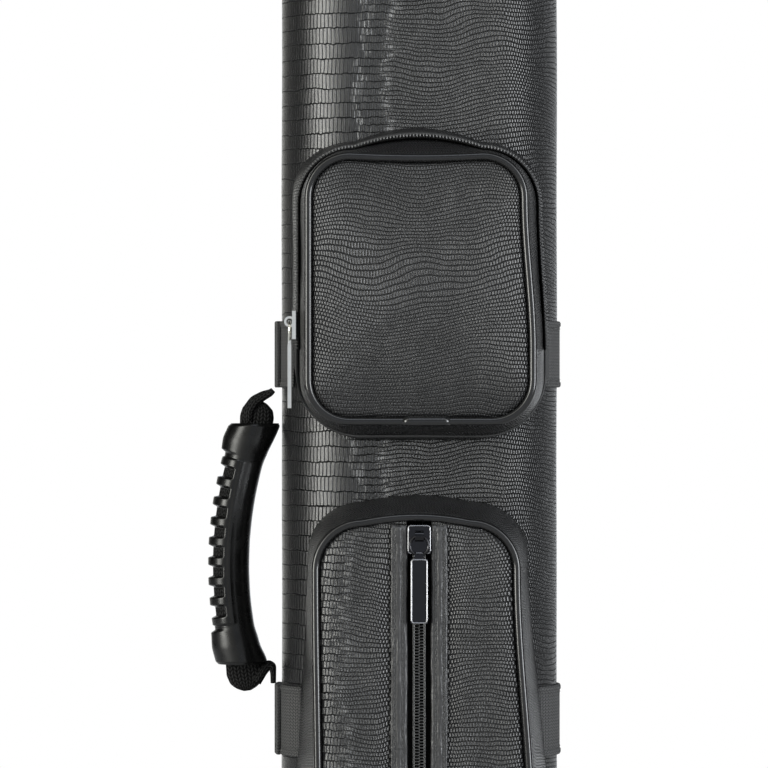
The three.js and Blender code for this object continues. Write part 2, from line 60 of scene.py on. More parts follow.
# ---- sizes shared with the CAD, in millimetres ----
GAP = 0.3
R_COVER = 42.0
STRAIGHT = 33.0
COVER_T = 1.2
R_LINER = 37.2
R_CAVITY = 34.0
FRONT = -42.0
HEIGHT = 864.0
JOINT_Z = 744.0
RIM_T = 3.7
LID_FOOT = JOINT_Z + 0.6
REACH = 35.5
SEAM_REACH = 17.0
CASE_REACH = -34.0
WALL_T = 1.6
PIPING_R = 2.2
UPPER_BAND = (516, 552)
LOWER_BAND = (317, 355)
TO_FRONT = (0, -1, 0)
TO_BACK = (0, 1, 0)

Outline = namedtuple("Outline", "left right left_top right_top bottom top radius bottom_radius arch flare")
UPPER_BASE = Outline(-70.25, 69.5, -70.25, 66, 478, 659, 36, 62, 10, 80)
UPPER_SEAM = Outline(-63.8, 65.6, -63.8, 62, 492.5, 642, 29, 29, 6, 80)
UPPER_FACE = Outline(-61.3, 61.4, -61.3, 57, 496, 640, 24, 24, -1, 80)
LOWER_BASE = Outline(-70, 71, -61, 61, 56, 463, 32, 32, 4, 140)
LOWER_FACE = Outline(-56, 60.5, -57.5, 53, 66, 447, 27, 27, 3, 140)
ZIP_X = -0.7
ZIP_HALF_SLOT = 6.5
ZIP_BOTTOM, ZIP_TOP = 78.0, 443.5
UPPER_ZIP_END = 535.0


# ---- camera: level, looking along +Y ----
def add_camera():
    data = bpy.data.cameras.new("camera")
    data.lens = 200
    data.sensor_width = 36
    data.clip_end = 50
    camera = bpy.data.objects.new("camera", data)
    camera.location = (-0.0192, -2.324, 0.5179)
    camera.rotation_euler = (math.pi / 2, 0, 0)
    bpy.context.scene.collection.objects.link(camera)
    bpy.context.scene.camera = camera


add_camera()


# ---- node materials ----
class Nodes:
    """A shader tree whose nodes are added by kind; inputs are constants or other nodes' sockets."""

    def __init__(self, owner, output="OutputMaterial"):
        owner.use_nodes = True
        self.owner = owner
        self.tree = owner.node_tree
        self.tree.nodes.clear()
        self.out = self.add(output)

    def add(self, kind, inputs=None, **settings):
        made = self.tree.nodes.new("ShaderNode" + kind)
        for key, value in settings.items():
            setattr(made, key, value)
        for key, value in (inputs or {}).items():
            self.put(made.inputs[key], value)
        return made

    def put(self, socket, value):
        if isinstance(value, bpy.types.NodeSocket):
            self.tree.links.new(value, socket)
        else:
            socket.default_value = value

    def math(self, operation, a, b=0.0, c=0.0):
        return self.add("Math", {0: a, 1: b, 2: c}, operation=operation).outputs[0]

    def plus(self, a, b):
        return self.math("ADD", a, b)

    def times(self, a, b):
        return self.math("MULTIPLY", a, b)

    def centred(self, value, amount):
        """A value from 0 to 1 as a push of up to half the amount either way."""
        return self.times(self.math("SUBTRACT", value, 0.5), amount)

    def vector(self, operation, a, b):
        return self.add("VectorMath", {0: a, 1: b}, operation=operation).outputs[0]

    def ramp(self, value, low, high, to_low=0.0, to_high=1.0, kind="SMOOTHSTEP"):
        inputs = {0: value, 1: low, 2: high, 3: to_low, 4: to_high}
        return self.add("MapRange", inputs, interpolation_type=kind).outputs[0]

    def noise(self, coords, scale, detail=3.0, rough=0.5):
        inputs = {"Vector": coords, "Scale": scale, "Detail": detail, "Roughness": rough}
        return self.add("TexNoise", inputs)

    def grain(self, *settings):
        return self.noise(*settings).outputs[0]

    def mix(self, factor, a, b):
        return self.add("Mix", {0: factor, 2: a, 3: b}, data_type="FLOAT").outputs[0]

    def colour(self, factor, dark, light):
        inputs = {0: factor, 6: (*dark, 1), 7: (*light, 1)}
        return self.add("Mix", inputs, data_type="RGBA").outputs[2]

    def surface_mm(self):
        """The mesh's own coordinates along its surface, in millimetres."""
        return self.vector("MULTIPLY", self.add("UVMap", uv_map="surface").outputs[0], (1000, 1000, 1000))

    def object_mm(self):
        return self.vector("MULTIPLY", self.add("TexCoord").outputs["Object"], (1000, 1000, 1000))

    def drawn_mm(self, across, along):
        """Object coordinates in millimetres, scaled so that a pattern is drawn out along z."""
        return self.vector("MULTIPLY", self.object_mm(), (across, across, along))

    def finish(self, colour, roughness, height=None, depth=0.2, strength=1.0, gloss=None, **constants):
        shader = self.add("BsdfPrincipled", {"Base Color": colour, "Roughness": roughness})
        for key, value in constants.items():
            shader.inputs[key.replace("_", " ")].default_value = value
        if gloss is not None:
            self.put(shader.inputs["Specular IOR Level"], gloss)
        if height is not None:
            bump = self.add("Bump", {"Strength": strength, "Distance": depth * MM, "Height": height})
            self.put(shader.inputs["Normal"], bump.outputs[0])
        self.tree.links.new(shader.outputs[0], self.out.inputs[0])
        return self.owner


def shader_nodes(name):
    return Nodes(bpy.data.materials.new(name))


def lizard(name, large_from, large_to, shift=(0.0, 0.0), dark=0.002, light=0.0065):
    """Embossed leatherette: long blocks in rows between two places across it, small scales elsewhere, with
    painted shade in the grooves.
    """
    n = shader_nodes(name)
    place = n.vector("ADD", n.surface_mm(), (*shift, 0))
    drift = n.noise(place, 0.014, 1.0)
    ripple = n.noise(place, 0.06, 1.0)

    def pushed(coords, noise, across, along):
        swing = n.vector("SUBTRACT", noise.outputs["Color"], (0.5, 0.5, 0.5))
        return n.vector("ADD", coords, n.vector("MULTIPLY", swing, (across, along, 0)))

    def blocks(coords, wide, tall, stagger, sill, groove, floor, ends=0.0):
        """Upright blocks in rows, each row shifted along, as a height from the groove's floor to 1."""
        parts = n.add("SeparateXYZ", {0: coords})
        row = n.math("FLOOR", n.math("DIVIDE", parts.outputs[1], tall))
        jog = n.times(n.math("FRACT", n.times(row, stagger)), wide)
        x = n.math("PINGPONG", n.plus(parts.outputs[0], jog), wide / 2)
        z = n.math("PINGPONG", n.plus(parts.outputs[1], ends), tall / 2)
        return n.ramp(n.math("SMOOTH_MIN", x, n.times(z, sill), 0.5), -0.1, groove, floor)

    flow = pushed(pushed(place, drift, 12, 30), ripple, 2.4, 4.0)
    small = blocks(flow, 1.5, 2.2, 0.5, 1.5, 0.56, 0.4)
    gentle = pushed(place, ripple, 1.6, 3.0)
    ends = n.centred(n.grain(place, 0.42, 0.0), 1.2)
    long = blocks(gentle, 2.2, 8.0, 0.618, 1.0, 0.36, 0.2, ends)
    short = blocks(gentle, 1.8, 4.0, 0.618, 1.0, 0.4, 0.3, ends)

    wander = n.plus(n.centred(drift.outputs[0], 16.0), n.centred(n.grain(place, 0.09, 1.0), 14.0))
    where = n.plus(n.add("SeparateXYZ", {0: place}).outputs[0], wander)
    past_start = n.ramp(where, large_from - 3, large_from + 3)
    inside = n.times(past_start, n.ramp(where, large_to - 7, large_to + 7, 1.0, 0.0))
    near_edge = n.ramp(where, large_to - 20, large_to - 8)
    scales = n.mix(inside, small, n.mix(near_edge, long, short))

    grain = n.grain(place, 2.2, 3.0, 0.6)
    height = n.plus(scales, n.times(grain, 0.16))
    # painted shade: the grooves darker and the tops lighter by the scales' height; the cloudy tone over it is
    # the leather's own
    tone = n.plus(n.times(scales, 0.85), n.centred(n.grain(place, 0.035, 3.0), 0.9))
    colour = n.colour(tone, (dark, dark, dark * 1.05), (light, light * 1.01, light * 1.08))
    rough = n.plus(n.ramp(scales, 0.4, 1, 0.55, 0.22), n.times(grain, 0.08))
    gloss = n.ramp(scales, 0.25, 0.95, 0.05, 0.62, "LINEAR")  # painted shade: the grooves reflect less, standing in for the shade that falls in them
    return n.finish(colour, rough, height, 0.8, 1.0, gloss)


def plain_vinyl(name, dark, light):
    """Fine diagonal twill under a matt coat."""
    n = shader_nodes(name)
    inputs = {"Vector": n.surface_mm(), "Scale": 0.5, "Distortion": 0.6, "Detail": 1.0}
    lines = n.add("TexWave", inputs, bands_direction="DIAGONAL")
    grain = n.grain(n.object_mm(), 1.9, 4.0)
    height = n.plus(lines.outputs["Fac"], n.times(grain, 0.8))
    cloud = n.grain(n.object_mm(), 0.05, 3.0)
    colour = n.colour(n.mix(0.5, cloud, grain), (dark,) * 3, (light, light, light * 1.03))
    return n.finish(colour, n.ramp(grain, 0.2, 0.8, 0.5, 0.68), height, 0.07, 0.7)


def crinkled(name, dark=0.006, light=0.016):
    """Thin leatherette drawn up by its seams: lengthwise creases with puckers across them."""
    n = shader_nodes(name)
    crease = n.grain(n.drawn_mm(1, 0.16), 0.8, 2.0, 0.5)
    pucker = n.grain(n.drawn_mm(0.5, 1), 0.55, 1.0)
    height = n.plus(crease, n.times(pucker, 0.6))
    # painted shade and light: the crease hollows darker and the ridges lighter, by the crease height
    colour = n.colour(n.ramp(height, 0.4, 1.2), (dark,) * 3, (light, light, light * 1.06))
    return n.finish(colour, n.ramp(crease, 0.3, 0.7, 0.46, 0.34), height, 0.55, 0.8, Specular_IOR_Level=0.6)


def smooth_vinyl(name, tone, low, high):
    n = shader_nodes(name)
    grain = n.grain(n.object_mm(), 1.4, 4.0, 0.6)
    wear = n.grain(n.object_mm(), 0.12, 3.0)
    colour = n.colour(wear, (tone,) * 3, (tone * 1.9, tone * 1.9, tone * 2.0))
    rough = n.ramp(grain, 0.25, 0.75, low, high)
    return n.finish(colour, rough, grain, 0.05, 0.5, Specular_IOR_Level=0.4)


def woven(name, along, across, tone, light, gloss=0.2):
    """Webbing: raised yarns that lean one way and the other in neighbouring columns."""
    n = shader_nodes(name)
    place = n.surface_mm()
    parts = n.add("SeparateXYZ", {0: place})
    column = n.math("DIVIDE", parts.outputs[0], across)
    flip = n.times(n.math("PINGPONG", column, 1.0), 0.9)
    row = n.plus(n.math("DIVIDE", parts.outputs[1], along), flip)
    bar = n.math("ABSOLUTE", n.math("SINE", n.times(row, math.pi)))
    rib = n.math("ABSOLUTE", n.math("SINE", n.times(column, math.pi)))
    fuzz = n.grain(place, 4.0, 3.0, 0.7)
    height = n.plus(n.times(bar, rib), n.times(fuzz, 0.25))
    # painted shade: the dips between yarns darker and the raised yarns lighter, by the weave's height
    colour = n.colour(height, (tone * 0.5,) * 3, (light,) * 3)
    sheen = n.ramp(height, 0.1, 0.9, 0.0, gloss)
    return n.finish(colour, n.ramp(fuzz, 0, 1, 0.7, 0.92), height, 0.35, 0.9, sheen)


def plush_cloth(name, tone=0.010, light=0.030):
    n = shader_nodes(name)
    nap = n.grain(n.object_mm(), 1.6, 5.0, 0.7)
    brushed = n.grain(n.drawn_mm(1, 0.35), 0.16, 3.0)
    colour = n.colour(n.mix(0.5, nap, brushed), (tone,) * 3, (light, light, light * 1.05))
    rough = n.ramp(nap, 0, 1, 0.82, 1.0)
    return n.finish(colour, rough, nap, 0.4, 0.8, Sheen_Weight=0.5, Sheen_Roughness=0.5)


def moulded(name, tone, low, high, gloss=0.5):
    n = shader_nodes(name)
    grain = n.grain(n.object_mm(), 2.6, 4.0, 0.65)
    smear = n.grain(n.object_mm(), 0.09, 3.0)
    colour = n.colour(smear, (tone,) * 3, (tone * 1.8,) * 3)
    rough = n.ramp(smear, 0.3, 0.7, low, high)
    return n.finish(colour, rough, grain, 0.05, 0.45, Specular_IOR_Level=gloss)


def plated(name, colour, low, high):
    """Polished plating with fine scratches."""
    n = shader_nodes(name)
    scratch = n.grain(n.drawn_mm(1, 0.08), 3.0, 3.0, 0.7)
    shade = n.colour(n.grain(n.object_mm(), 0.3, 2.0), [c * 0.85 for c in colour], colour)
    return n.finish(shade, n.ramp(scratch, 0.3, 0.7, low, high), scratch, 0.01, 0.4, Metallic=1.0)


NOWHERE = (-900, -890)
LEATHER = lizard("leatherette", -95, -17)
LEATHER_UPPER = lizard("leatherette_upper", -300, -290, (310, 45))
LEATHER_LOWER = lizard("leatherette_lower", -60, -40, (0, 120))
LEATHER_GUSSET = lizard("leatherette_gusset", *NOWHERE, (40, 77))
LEATHER_FLAP = lizard("leatherette_flap", *NOWHERE, (11, 23), 0.001, 0.007)
VINYL = woven("band_cloth", 1.7, 1.5, 0.012, 0.08, 0.6)
CRINKLED = crinkled("strip_leatherette")
BINDING = plain_vinyl("binding", 0.010, 0.018)
PIPING = smooth_vinyl("piping_vinyl", 0.004, 0.1, 0.18)
WEBBING = woven("webbing_weave", 2.2, 1.6, 0.001, 0.016)
TAPE = woven("zip_tape", 1.0, 0.9, 0.001, 0.006, 0.1)
PLUSH = plush_cloth("plush")
GRIP = moulded("grip_plastic", 0.002, 0.2, 0.34, 0.28)
# partly painted highlight: the teeth are dark grey rather than black nylon, standing in for the small glints
# on them
GLINT_GREY_NYLON = moulded("zip_nylon", 0.05, 0.16, 0.3)
COIL_NYLON = moulded("coil_nylon", 0.008, 0.14, 0.26)
SHELL = moulded("shell_plastic", 0.010, 0.35, 0.6)
THREAD = woven("thread", 0.5, 0.4, 0.03, 0.11, 0.5)
NICKEL = plated("nickel", (0.68, 0.67, 0.63), 0.12, 0.26)
BLACK_NICKEL = plated("black_nickel", (0.028, 0.028, 0.03), 0.08, 0.18)
# painted highlight: a lighter metal for rims that stand in for glints on the black nickel's bevels
GLINT_RIM_METAL = plated("glint_rim_metal", (0.3, 0.3, 0.31), 0.08, 0.2)


# ---- mesh making ----
def make(name, points, faces, loop_uvs, material, body, replaces=(), slot=None, blend=None):
    """A smooth mesh from points in millimetres, riding on a body, or left unattached in place where a blend is
    given.
    """
    mesh = bpy.data.meshes.new(name)
    metres = np.asarray(points, float) * MM
    mesh.from_pydata([tuple(p) for p in metres], [], [tuple(int(i) for i in f) for f in faces])
    layer = mesh.uv_layers.new(name="surface")
    layer.data.foreach_set("uv", (np.asarray(loop_uvs, np.float32).reshape(-1) * MM).astype(np.float32))
    bm = bmesh.new()
    bm.from_mesh(mesh)
    bmesh.ops.recalc_face_normals(bm, faces=bm.faces)
    bm.to_mesh(mesh)
    bm.free()
    mesh.shade_smooth()
    mesh.materials.append(material)
    made = bpy.data.objects.new(name, mesh)
    bpy.context.scene.collection.objects.link(made)
    if blend:
        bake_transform(made)
    else:
        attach(made, body)
    if replaces:
        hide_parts(*replaces)
    return made


def lengths(points):
    steps = np.linalg.norm(np.diff(points, axis=0), axis=1)
    return np.concatenate([[0], np.cumsum(steps)])


def spread(x, y, z):
    """Points from three coordinates, any of which may be one number for them all."""
    return np.column_stack(np.broadcast_arrays(x, y, z))


def flat_uvs(points, faces):
    """Surface coordinates (mm) as seen from the front."""
    return [(points[k][0], points[k][2]) for f in faces for k in f]


def surface(rows, wrap_rows=False, wrap_columns=False):
    """Faces and surface coordinates (mm) over a table of points, rows by columns.

    Where one direction closes on itself and the other doesn't, both open ends are capped.
    """
    P = np.asarray(rows, float)
    m, n = P.shape[:2]
    ring = np.concatenate([P, P[:, :1]], 1) if wrap_columns else P
    stack = np.concatenate([P, P[:1]], 0) if wrap_rows else P
    u = np.mean([lengths(r) for r in ring], axis=0)
    v = np.mean([lengths(stack[:, j]) for j in range(0, n, max(1, n // 12))], axis=0)
    u = u - u[-1] / 2
    faces, uvs = [], []
    for i in range(m if wrap_rows else m - 1):
        for j in range(n if wrap_columns else n - 1):
            i2, j2 = (i + 1) % m, (j + 1) % n
            faces.append((i * n + j, i * n + j2, i2 * n + j2, i2 * n + j))
            uvs += [(u[j], v[i]), (u[j + 1], v[i]), (u[j + 1], v[i + 1]), (u[j], v[i + 1])]
    caps = []
    if wrap_columns and not wrap_rows:
        caps = [list(range(n)), [(m - 1) * n + j for j in range(n)]]
    if wrap_rows and not wrap_columns:
        caps = [[i * n for i in range(m)], [i * n + n - 1 for i in range(m)]]
    flat = P.reshape(-1, 3)
    for cap in caps:
        faces.append(cap)
        uvs += flat_uvs(flat, [cap])
    return flat, faces, uvs


def loft(name, rows, material, body, wrap_rows=False, wrap_columns=False, **more):
    points, faces, uvs = surface(rows, wrap_rows, wrap_columns)
    return make(name, points, faces, uvs, material, body, **more)


def many(name, shape, places, material, body, **more):
    """Copies of a small shape (points, faces) at each place (origin, three axes) as one mesh."""
    base, base_faces = shape
    points, faces = [], []
    for origin, axes in places:
        start = len(points)
        points += [np.asarray(origin) + p[0] * axes[0] + p[1] * axes[1] + p[2] * axes[2] for p in base]
        faces += [[start + k for k in f] for f in base_faces]
    return make(name, points, faces, flat_uvs(points, faces), material, body, **more)


def bead(length, width, height):
    """A small rounded bar along its first axis."""
    sides = 6
    stations = [(-0.5, 0.45), (-0.36, 1.0), (0.36, 1.0), (0.5, 0.45)]
    points, faces = [], []
    for x, s in stations:
        for k in range(sides):
            a = 2 * math.pi * k / sides
            points.append(np.array([x * length, math.cos(a) * width / 2 * s, math.sin(a) * height / 2 * s]))
    for i in range(len(stations) - 1):
        for k in range(sides):
            j = (k + 1) % sides
            faces.append([i * sides + k, i * sides + j, (i + 1) * sides + j, (i + 1) * sides + k])
    faces += [list(range(sides)), [3 * sides + k for k in range(sides)]]
    return points, faces


def unit(v):
    v = np.asarray(v, float)
    return v / max(1e-9, np.linalg.norm(v))


def along(path, pitch, closed=False):
    """Points and directions every pitch along a polyline."""
    path = np.asarray(path, float)
    if closed:
        path = np.concatenate([path, path[:1]])
    s = lengths(path)
    count = max(1, int(s[-1] / pitch))
    found = []
    for k in range(count):
        at = (k + 0.5) * s[-1] / count
        i = max(0, min(len(s) - 2, int(np.searchsorted(s, at) - 1)))
        step = path[i + 1] - path[i]
        t = (at - s[i]) / max(1e-9, s[i + 1] - s[i])
        found.append((path[i] + step * t, unit(step)))
    return found


def facing(normal, p):
    """The direction that a row of stitches or teeth faces at a point: fixed, or found from the point."""
    return unit(normal(p) if callable(normal) else normal)


def stitch_row(name, path, normal, body, pitch=3.6, closed=False, thread=0.55):
    """A row of stitches that lie along a path and face the normal."""
    places = []
    for p, d in along(path, pitch, closed):
        out = facing(normal, p)
        places.append((p, (d, unit(np.cross(d, out)), out)))
    return many(name, bead(pitch * 0.78, thread, thread * 0.8), places, THREAD, body)


def stitch_outline(name, outline, y, normal, body, pitch):
    """Stitches round a closed outline of (x, z) at one depth."""
    x, z = np.asarray(outline).T
    stitch_row(name, spread(x, y, z), normal, body, pitch, True)


def tube(name, path, radius, material, body, closed=True, sides=12, **more):
    """A round tube along a path, as rows round the section and columns along the path."""
    path = np.asarray(path, float)
    nxt = np.roll(path, -1, 0)
    prv = np.roll(path, 1, 0)
    if not closed:
        nxt[-1], prv[0] = path[-1], path[0]
    radii = np.broadcast_to(np.asarray(radius, float), (len(path),))
    rows = []
    for k in range(sides):
        a = 2 * math.pi * k / sides
        ring = []
        for i, p in enumerate(path):
            d = unit(nxt[i] - prv[i])
            side = unit(np.cross(d, TO_BACK))
            up = unit(np.cross(side, d))
            ring.append(p + radii[i] * (math.cos(a) * side + math.sin(a) * up))
        rows.append(ring)
    return loft(name, rows, material, body, wrap_rows=True, wrap_columns=closed, **more)


# ---- outlines ----
def oval(radius, segments=40, straight_steps=24):
    """Points round the case from its back centre by the left, front and right, and their outward normals."""
    points, normals = [], []

    def arc(cx, a0, a1):
        for k in range(segments + 1):
            a = a0 + (a1 - a0) * k / segments
            normals.append((math.cos(a), math.sin(a)))
            points.append((cx + radius * math.cos(a), radius * math.sin(a)))

    half = straight_steps // 2
    for k in range(half):
        points.append((-STRAIGHT * k / half, radius))
        normals.append((0, 1))
    arc(-STRAIGHT, math.pi / 2, 1.5 * math.pi)
    for k in range(1, straight_steps):
        points.append((-STRAIGHT + 2 * STRAIGHT * k / straight_steps, -radius))
        normals.append((0, -1))
    arc(STRAIGHT, -math.pi / 2, math.pi / 2)
    for k in range(1, half):
        points.append((STRAIGHT - STRAIGHT * k / half, radius))
        normals.append((0, 1))
    return np.array(points), np.array(normals)


def ring_rows(profile, ripple=None):
    """Rows for a solid round the case whose section is (radius, z) pairs."""
    rows = []
    for r, z in profile:
        pts, nrm = oval(r)
        row = spread(*pts.T, z)
        if ripple is not None:
            row[:, :2] += nrm * ripple(pts[:, 0], pts[:, 1], z)[:, None]
        rows.append(row)
    return rows


def pocket(o, inset=0.0, arc_steps=14, side_steps=26):
    """A pocket's outline as (x, z), from its bottom centre to the right, up and round."""
    left, right = o.left + inset, o.right - inset
    lt, rt = o.left_top + inset, o.right_top - inset
    bottom, top, r = o.bottom + inset, o.top - inset, o.radius - inset
    low = o.bottom_radius - inset
    shoulder = top - r
    flare_end = shoulder - o.flare
    bend = (shoulder - flare_end) / 3
    points = []

    def line(a, b, steps):
        for k in range(steps):
            points.append((a[0] + (b[0] - a[0]) * k / steps, a[1] + (b[1] - a[1]) * k / steps))

    def arc(cx, cz, radius, a0, a1):
        for k in range(arc_steps):
            a = a0 + (a1 - a0) * k / arc_steps
            points.append((cx + radius * math.cos(a), cz + radius * math.sin(a)))

    def bezier(p, steps):
        for k in range(steps):
            t = k / steps
            w = ((1 - t) ** 3, 3 * t * (1 - t) ** 2, 3 * t * t * (1 - t), t ** 3)
            points.append(tuple(sum(w[i] * p[i][c] for i in range(4)) for c in (0, 1)))

    middle = (left + right) / 2
    line((middle, bottom), (right - low, bottom), 12)
    arc(right - low, bottom + low, low, -math.pi / 2, 0)
    line((right, bottom + low), (right, flare_end), side_steps)
    bezier([(right, flare_end), (right, flare_end + bend), (rt, shoulder - bend), (rt, shoulder)], side_steps)
    arc(rt - r, shoulder, r, 0, math.pi / 2)
    for k in range(24):
        t = k / 24
        x = (1 - t) ** 2 * (rt - r) + 2 * t * (1 - t) * (lt + rt) / 2 + t * t * (lt + r)
        points.append((x, top + 4 * t * (1 - t) * o.arch))
    arc(lt + r, shoulder, r, math.pi / 2, math.pi)
    bezier([(lt, shoulder), (lt, shoulder - bend), (left, flare_end + bend), (left, flare_end)], side_steps)
    line((left, flare_end), (left, bottom + low), side_steps)
    arc(left + low, bottom + low, low, math.pi, 1.5 * math.pi)
    line((left + low, bottom), (middle, bottom), 12)
    return np.array(points)


def outward(points):
    """Outward normals of a closed outline that runs anticlockwise."""
    d = np.roll(points, -1, 0) - np.roll(points, 1, 0)
    n = np.column_stack([d[:, 1], -d[:, 0]])
    return n / np.linalg.norm(n, axis=1)[:, None]


def put(xz, reach):
    """Points of an outline at a reach in front of the case."""
    return spread(xz[:, 0], FRONT - reach, xz[:, 1])


def smooth_noise(points, scale, seed=0.0):
    """A gentle repeatable wave in place of randomness."""
    p = np.asarray(points, float) * scale + seed
    x, z = p[..., 0], p[..., 2]
    return (np.sin(x * 1.7 + 2.1 * np.sin(z * 0.9)) + np.sin(z * 2.3 + 1.3 * np.sin(x * 1.1))) / 2


# ---- body, lid and boot ----
def add_covers():
    foot, top = 4.3, JOINT_Z - RIM_T - GAP
    levels = np.concatenate([[foot], np.linspace(foot + 1, top - 1, 90), [top]])

    def ripple(x, y, z):
        return 0.18 * smooth_noise(spread(x, y, z), 0.02) - 0.12

    outer = ring_rows([(R_COVER, z) for z in levels], ripple)
    inner = ring_rows([(R_COVER - COVER_T, z) for z in levels[::-1]])
    loft("cover", outer + inner, LEATHER, "case", True, True, replaces=["body_cover"], slot="leatherette")

    z0 = LID_FOOT + RIM_T + GAP
    shoulder_r, crown_rise, crown_r = 7, 2, 35
    turn_z = HEIGHT - crown_rise - shoulder_r
    wall = [(R_COVER, z) for z in np.linspace(z0, turn_z, 24)]
    turns = np.linspace(0.15, math.pi / 2, 8)
    middle_r = R_COVER - shoulder_r
    shoulder = [(middle_r + shoulder_r * math.cos(a), turn_z + shoulder_r * math.sin(a)) for a in turns]
    radii = np.linspace(32, 0.02, 14)
    crown = [(r, HEIGHT - crown_rise + crown_rise * (1 - (r / crown_r) ** 2)) for r in radii]
    under = [(0.02, HEIGHT - 3), (R_COVER - 9, HEIGHT - 3.2), (R_COVER - COVER_T, turn_z)]
    profile = wall + shoulder + crown + under + [(R_COVER - COVER_T, z0)]
    lid = loft("lid_skin", ring_rows(profile), LEATHER, "lid", True, True,
               replaces=["lid_cover", "lid_crown"], slot="leatherette")
    skin = lid.data
    fine_scales_at = 0.11
    for face in skin.polygons:
        if face.normal.z > 0.8:  # the crown is cut flat from the sheet
            for k in face.loop_indices:
                spot = skin.vertices[skin.loops[k].vertex_index].co
                skin.uv_layers["surface"].data[k].uv = (spot.x + fine_scales_at, spot.y)


def rounded_section(r0, r1, z0, z1, radius, steps=4):
    """A section with rounded corners, as (radius, z) pairs."""
    corners = [(r1, z1, 0), (r0, z1, 1), (r0, z0, 2), (r1, z0, 3)]
    section = []
    for r, z, k in corners:
        cr = r - radius if k in (0, 3) else r + radius
        cz = z - radius if k in (0, 1) else z + radius
        for i in range(steps + 1):
            a = (k + i / steps) * math.pi / 2
            section.append((cr + radius * math.cos(a), cz + radius * math.sin(a)))
    return section


def case_stitches(name, stand_off, z, body):
    """Stitches all round the case at one height."""
    points, _ = oval(R_COVER + stand_off)
    stitch_row(name, spread(*points.T, z), case_normal, body, 4.0, True)


def add_rims():
    for name, body, z0, node in (("body_binding", "case", JOINT_Z - RIM_T, "body_rim"),
                                 ("lid_binding", "lid", LID_FOOT, "lid_rim")):
        section = rounded_section(R_LINER, R_COVER + 0.25, z0, z0 + RIM_T, 1.5)
        loft(name, ring_rows(section), BINDING, body, True, True, replaces=[node], slot="plain_vinyl")
    out, against = R_COVER + 2.2, R_COVER + GAP
    section = [(out, 2.2), (out, 30.8), (R_COVER + 1.9, 31.8), (against, 32), (against, 4.2), (20, 4.0),
               (1.5, 4.0), (1.5, 0.0), (20, 0.0), (R_COVER, 0.0), (R_COVER + 1.5, 0.6)]
    dense = []
    for a, b in zip(section, section[1:] + section[:1]):
        steps = 6 if abs(a[1] - b[1]) > 8 else 3
        dense += [(a[0] + (b[0] - a[0]) * k / steps, a[1] + (b[1] - a[1]) * k / steps) for k in range(steps)]
    loft("boot", ring_rows(dense), VINYL, "case", True, True,
         replaces=["boot_sole", "boot_wall"], slot="plain_vinyl")
    case_stitches("boot_stitches_27", 2.25, 27.5, "case")
    case_stitches("boot_stitches_24", 2.25, 24.0, "case")
    case_stitches("body_rim_stitches", 0.1, JOINT_Z - RIM_T - 2.2, "case")
    case_stitches("lid_rim_stitches", 0.1, LID_FOOT + RIM_T + 2.2, "lid")


def case_normal(p):
    """The case's outward direction at a point on its side."""
    x = p[0]
    over = abs(x) - STRAIGHT
    if over <= 0:
        return np.array([0, math.copysign(1, p[1]), 0])
    return np.array([math.copysign(over, x), p[1], 0])


def add_bands():
    for name, (z0, z1), open_half in (("upper_band", UPPER_BAND, 66.0), ("lower_band", LOWER_BAND, 62.0)):
        points, _ = oval(R_COVER + GAP)
        total = len(points)
        shut = [j for j in range(total) if points[j][1] > 0 or abs(points[j][0]) > open_half]
        first = next(j for j in shut if (j - 1) % total not in shut)
        order = [(first + k) % total for k in range(len(shut))]
        rows = []
        for off, z in band_section(z0, z1):
            ring, _ = oval(R_COVER + GAP + off)
            rows.append([(*ring[j], z) for j in order])
        loft(name + "_strip", rows, VINYL, "case", True, False, replaces=[name], slot="plain_vinyl")
        ring, _ = oval(R_COVER + GAP + 1.25)
        for k, z in enumerate((z0 + 4.2, z1 - 4.2)):
            row = [(*ring[j], z) for j in order]
            stitch_row(f"{name}_stitches_{k}", row, case_normal, "case", 3.4)


def band_section(z0, z1):
    """(stand-off, z) pairs: a strip 1.2 thick with rolled hems."""
    hem = [(0.5, 0), (1.35, 0.25), (1.75, 1.2), (1.75, 2.6), (1.3, 3.1), (1.2, 3.6)]
    middle = (z0 + z1) / 2
    outer = [(r, z0 + z) for r, z in hem] + [(1.2, middle)] + [(r, z1 - z) for r, z in hem[::-1]]
    return outer + [(0.02, z1 - 0.1), (0.02, middle), (0.02, z0 + 0.1)]


def add_anchors():
    for name, (z0, z1) in (("handle_anchor_upper", UPPER_BAND), ("handle_anchor_lower", LOWER_BAND)):
        rows = []
        r0, r1 = R_COVER + 1.8, R_COVER + 3.8
        section = [(r1 - 0.5, z0), (r1, z0 + 0.6)] + [(r1, z) for z in np.linspace(z0 + 2, z1 - 2, 8)]
        section += [(r1, z1 - 0.6), (r1 - 0.5, z1), (r0, z1), (r0, (z0 + z1) / 2), (r0, z0)]
        for r, z in section:
            row = []
            for a in np.linspace(math.pi - 0.255, math.pi + 0.255, 15):
                row.append((-STRAIGHT + r * math.cos(a), r * math.sin(a), z))
            rows.append(row)
        loft(name + "_webbing", rows, VINYL, "case", True, False, replaces=[name], slot="webbing")
        mid = R_COVER + 3.85
        for k, y in enumerate((-7.5, 7.5)):
            x = -STRAIGHT - math.sqrt(mid * mid - y * y)
            path = [(x, y, z0 + 3), (x, y, z1 - 3)]
            stitch_row(f"{name}_stitches_{k}", path, case_normal, "case", 3.4)


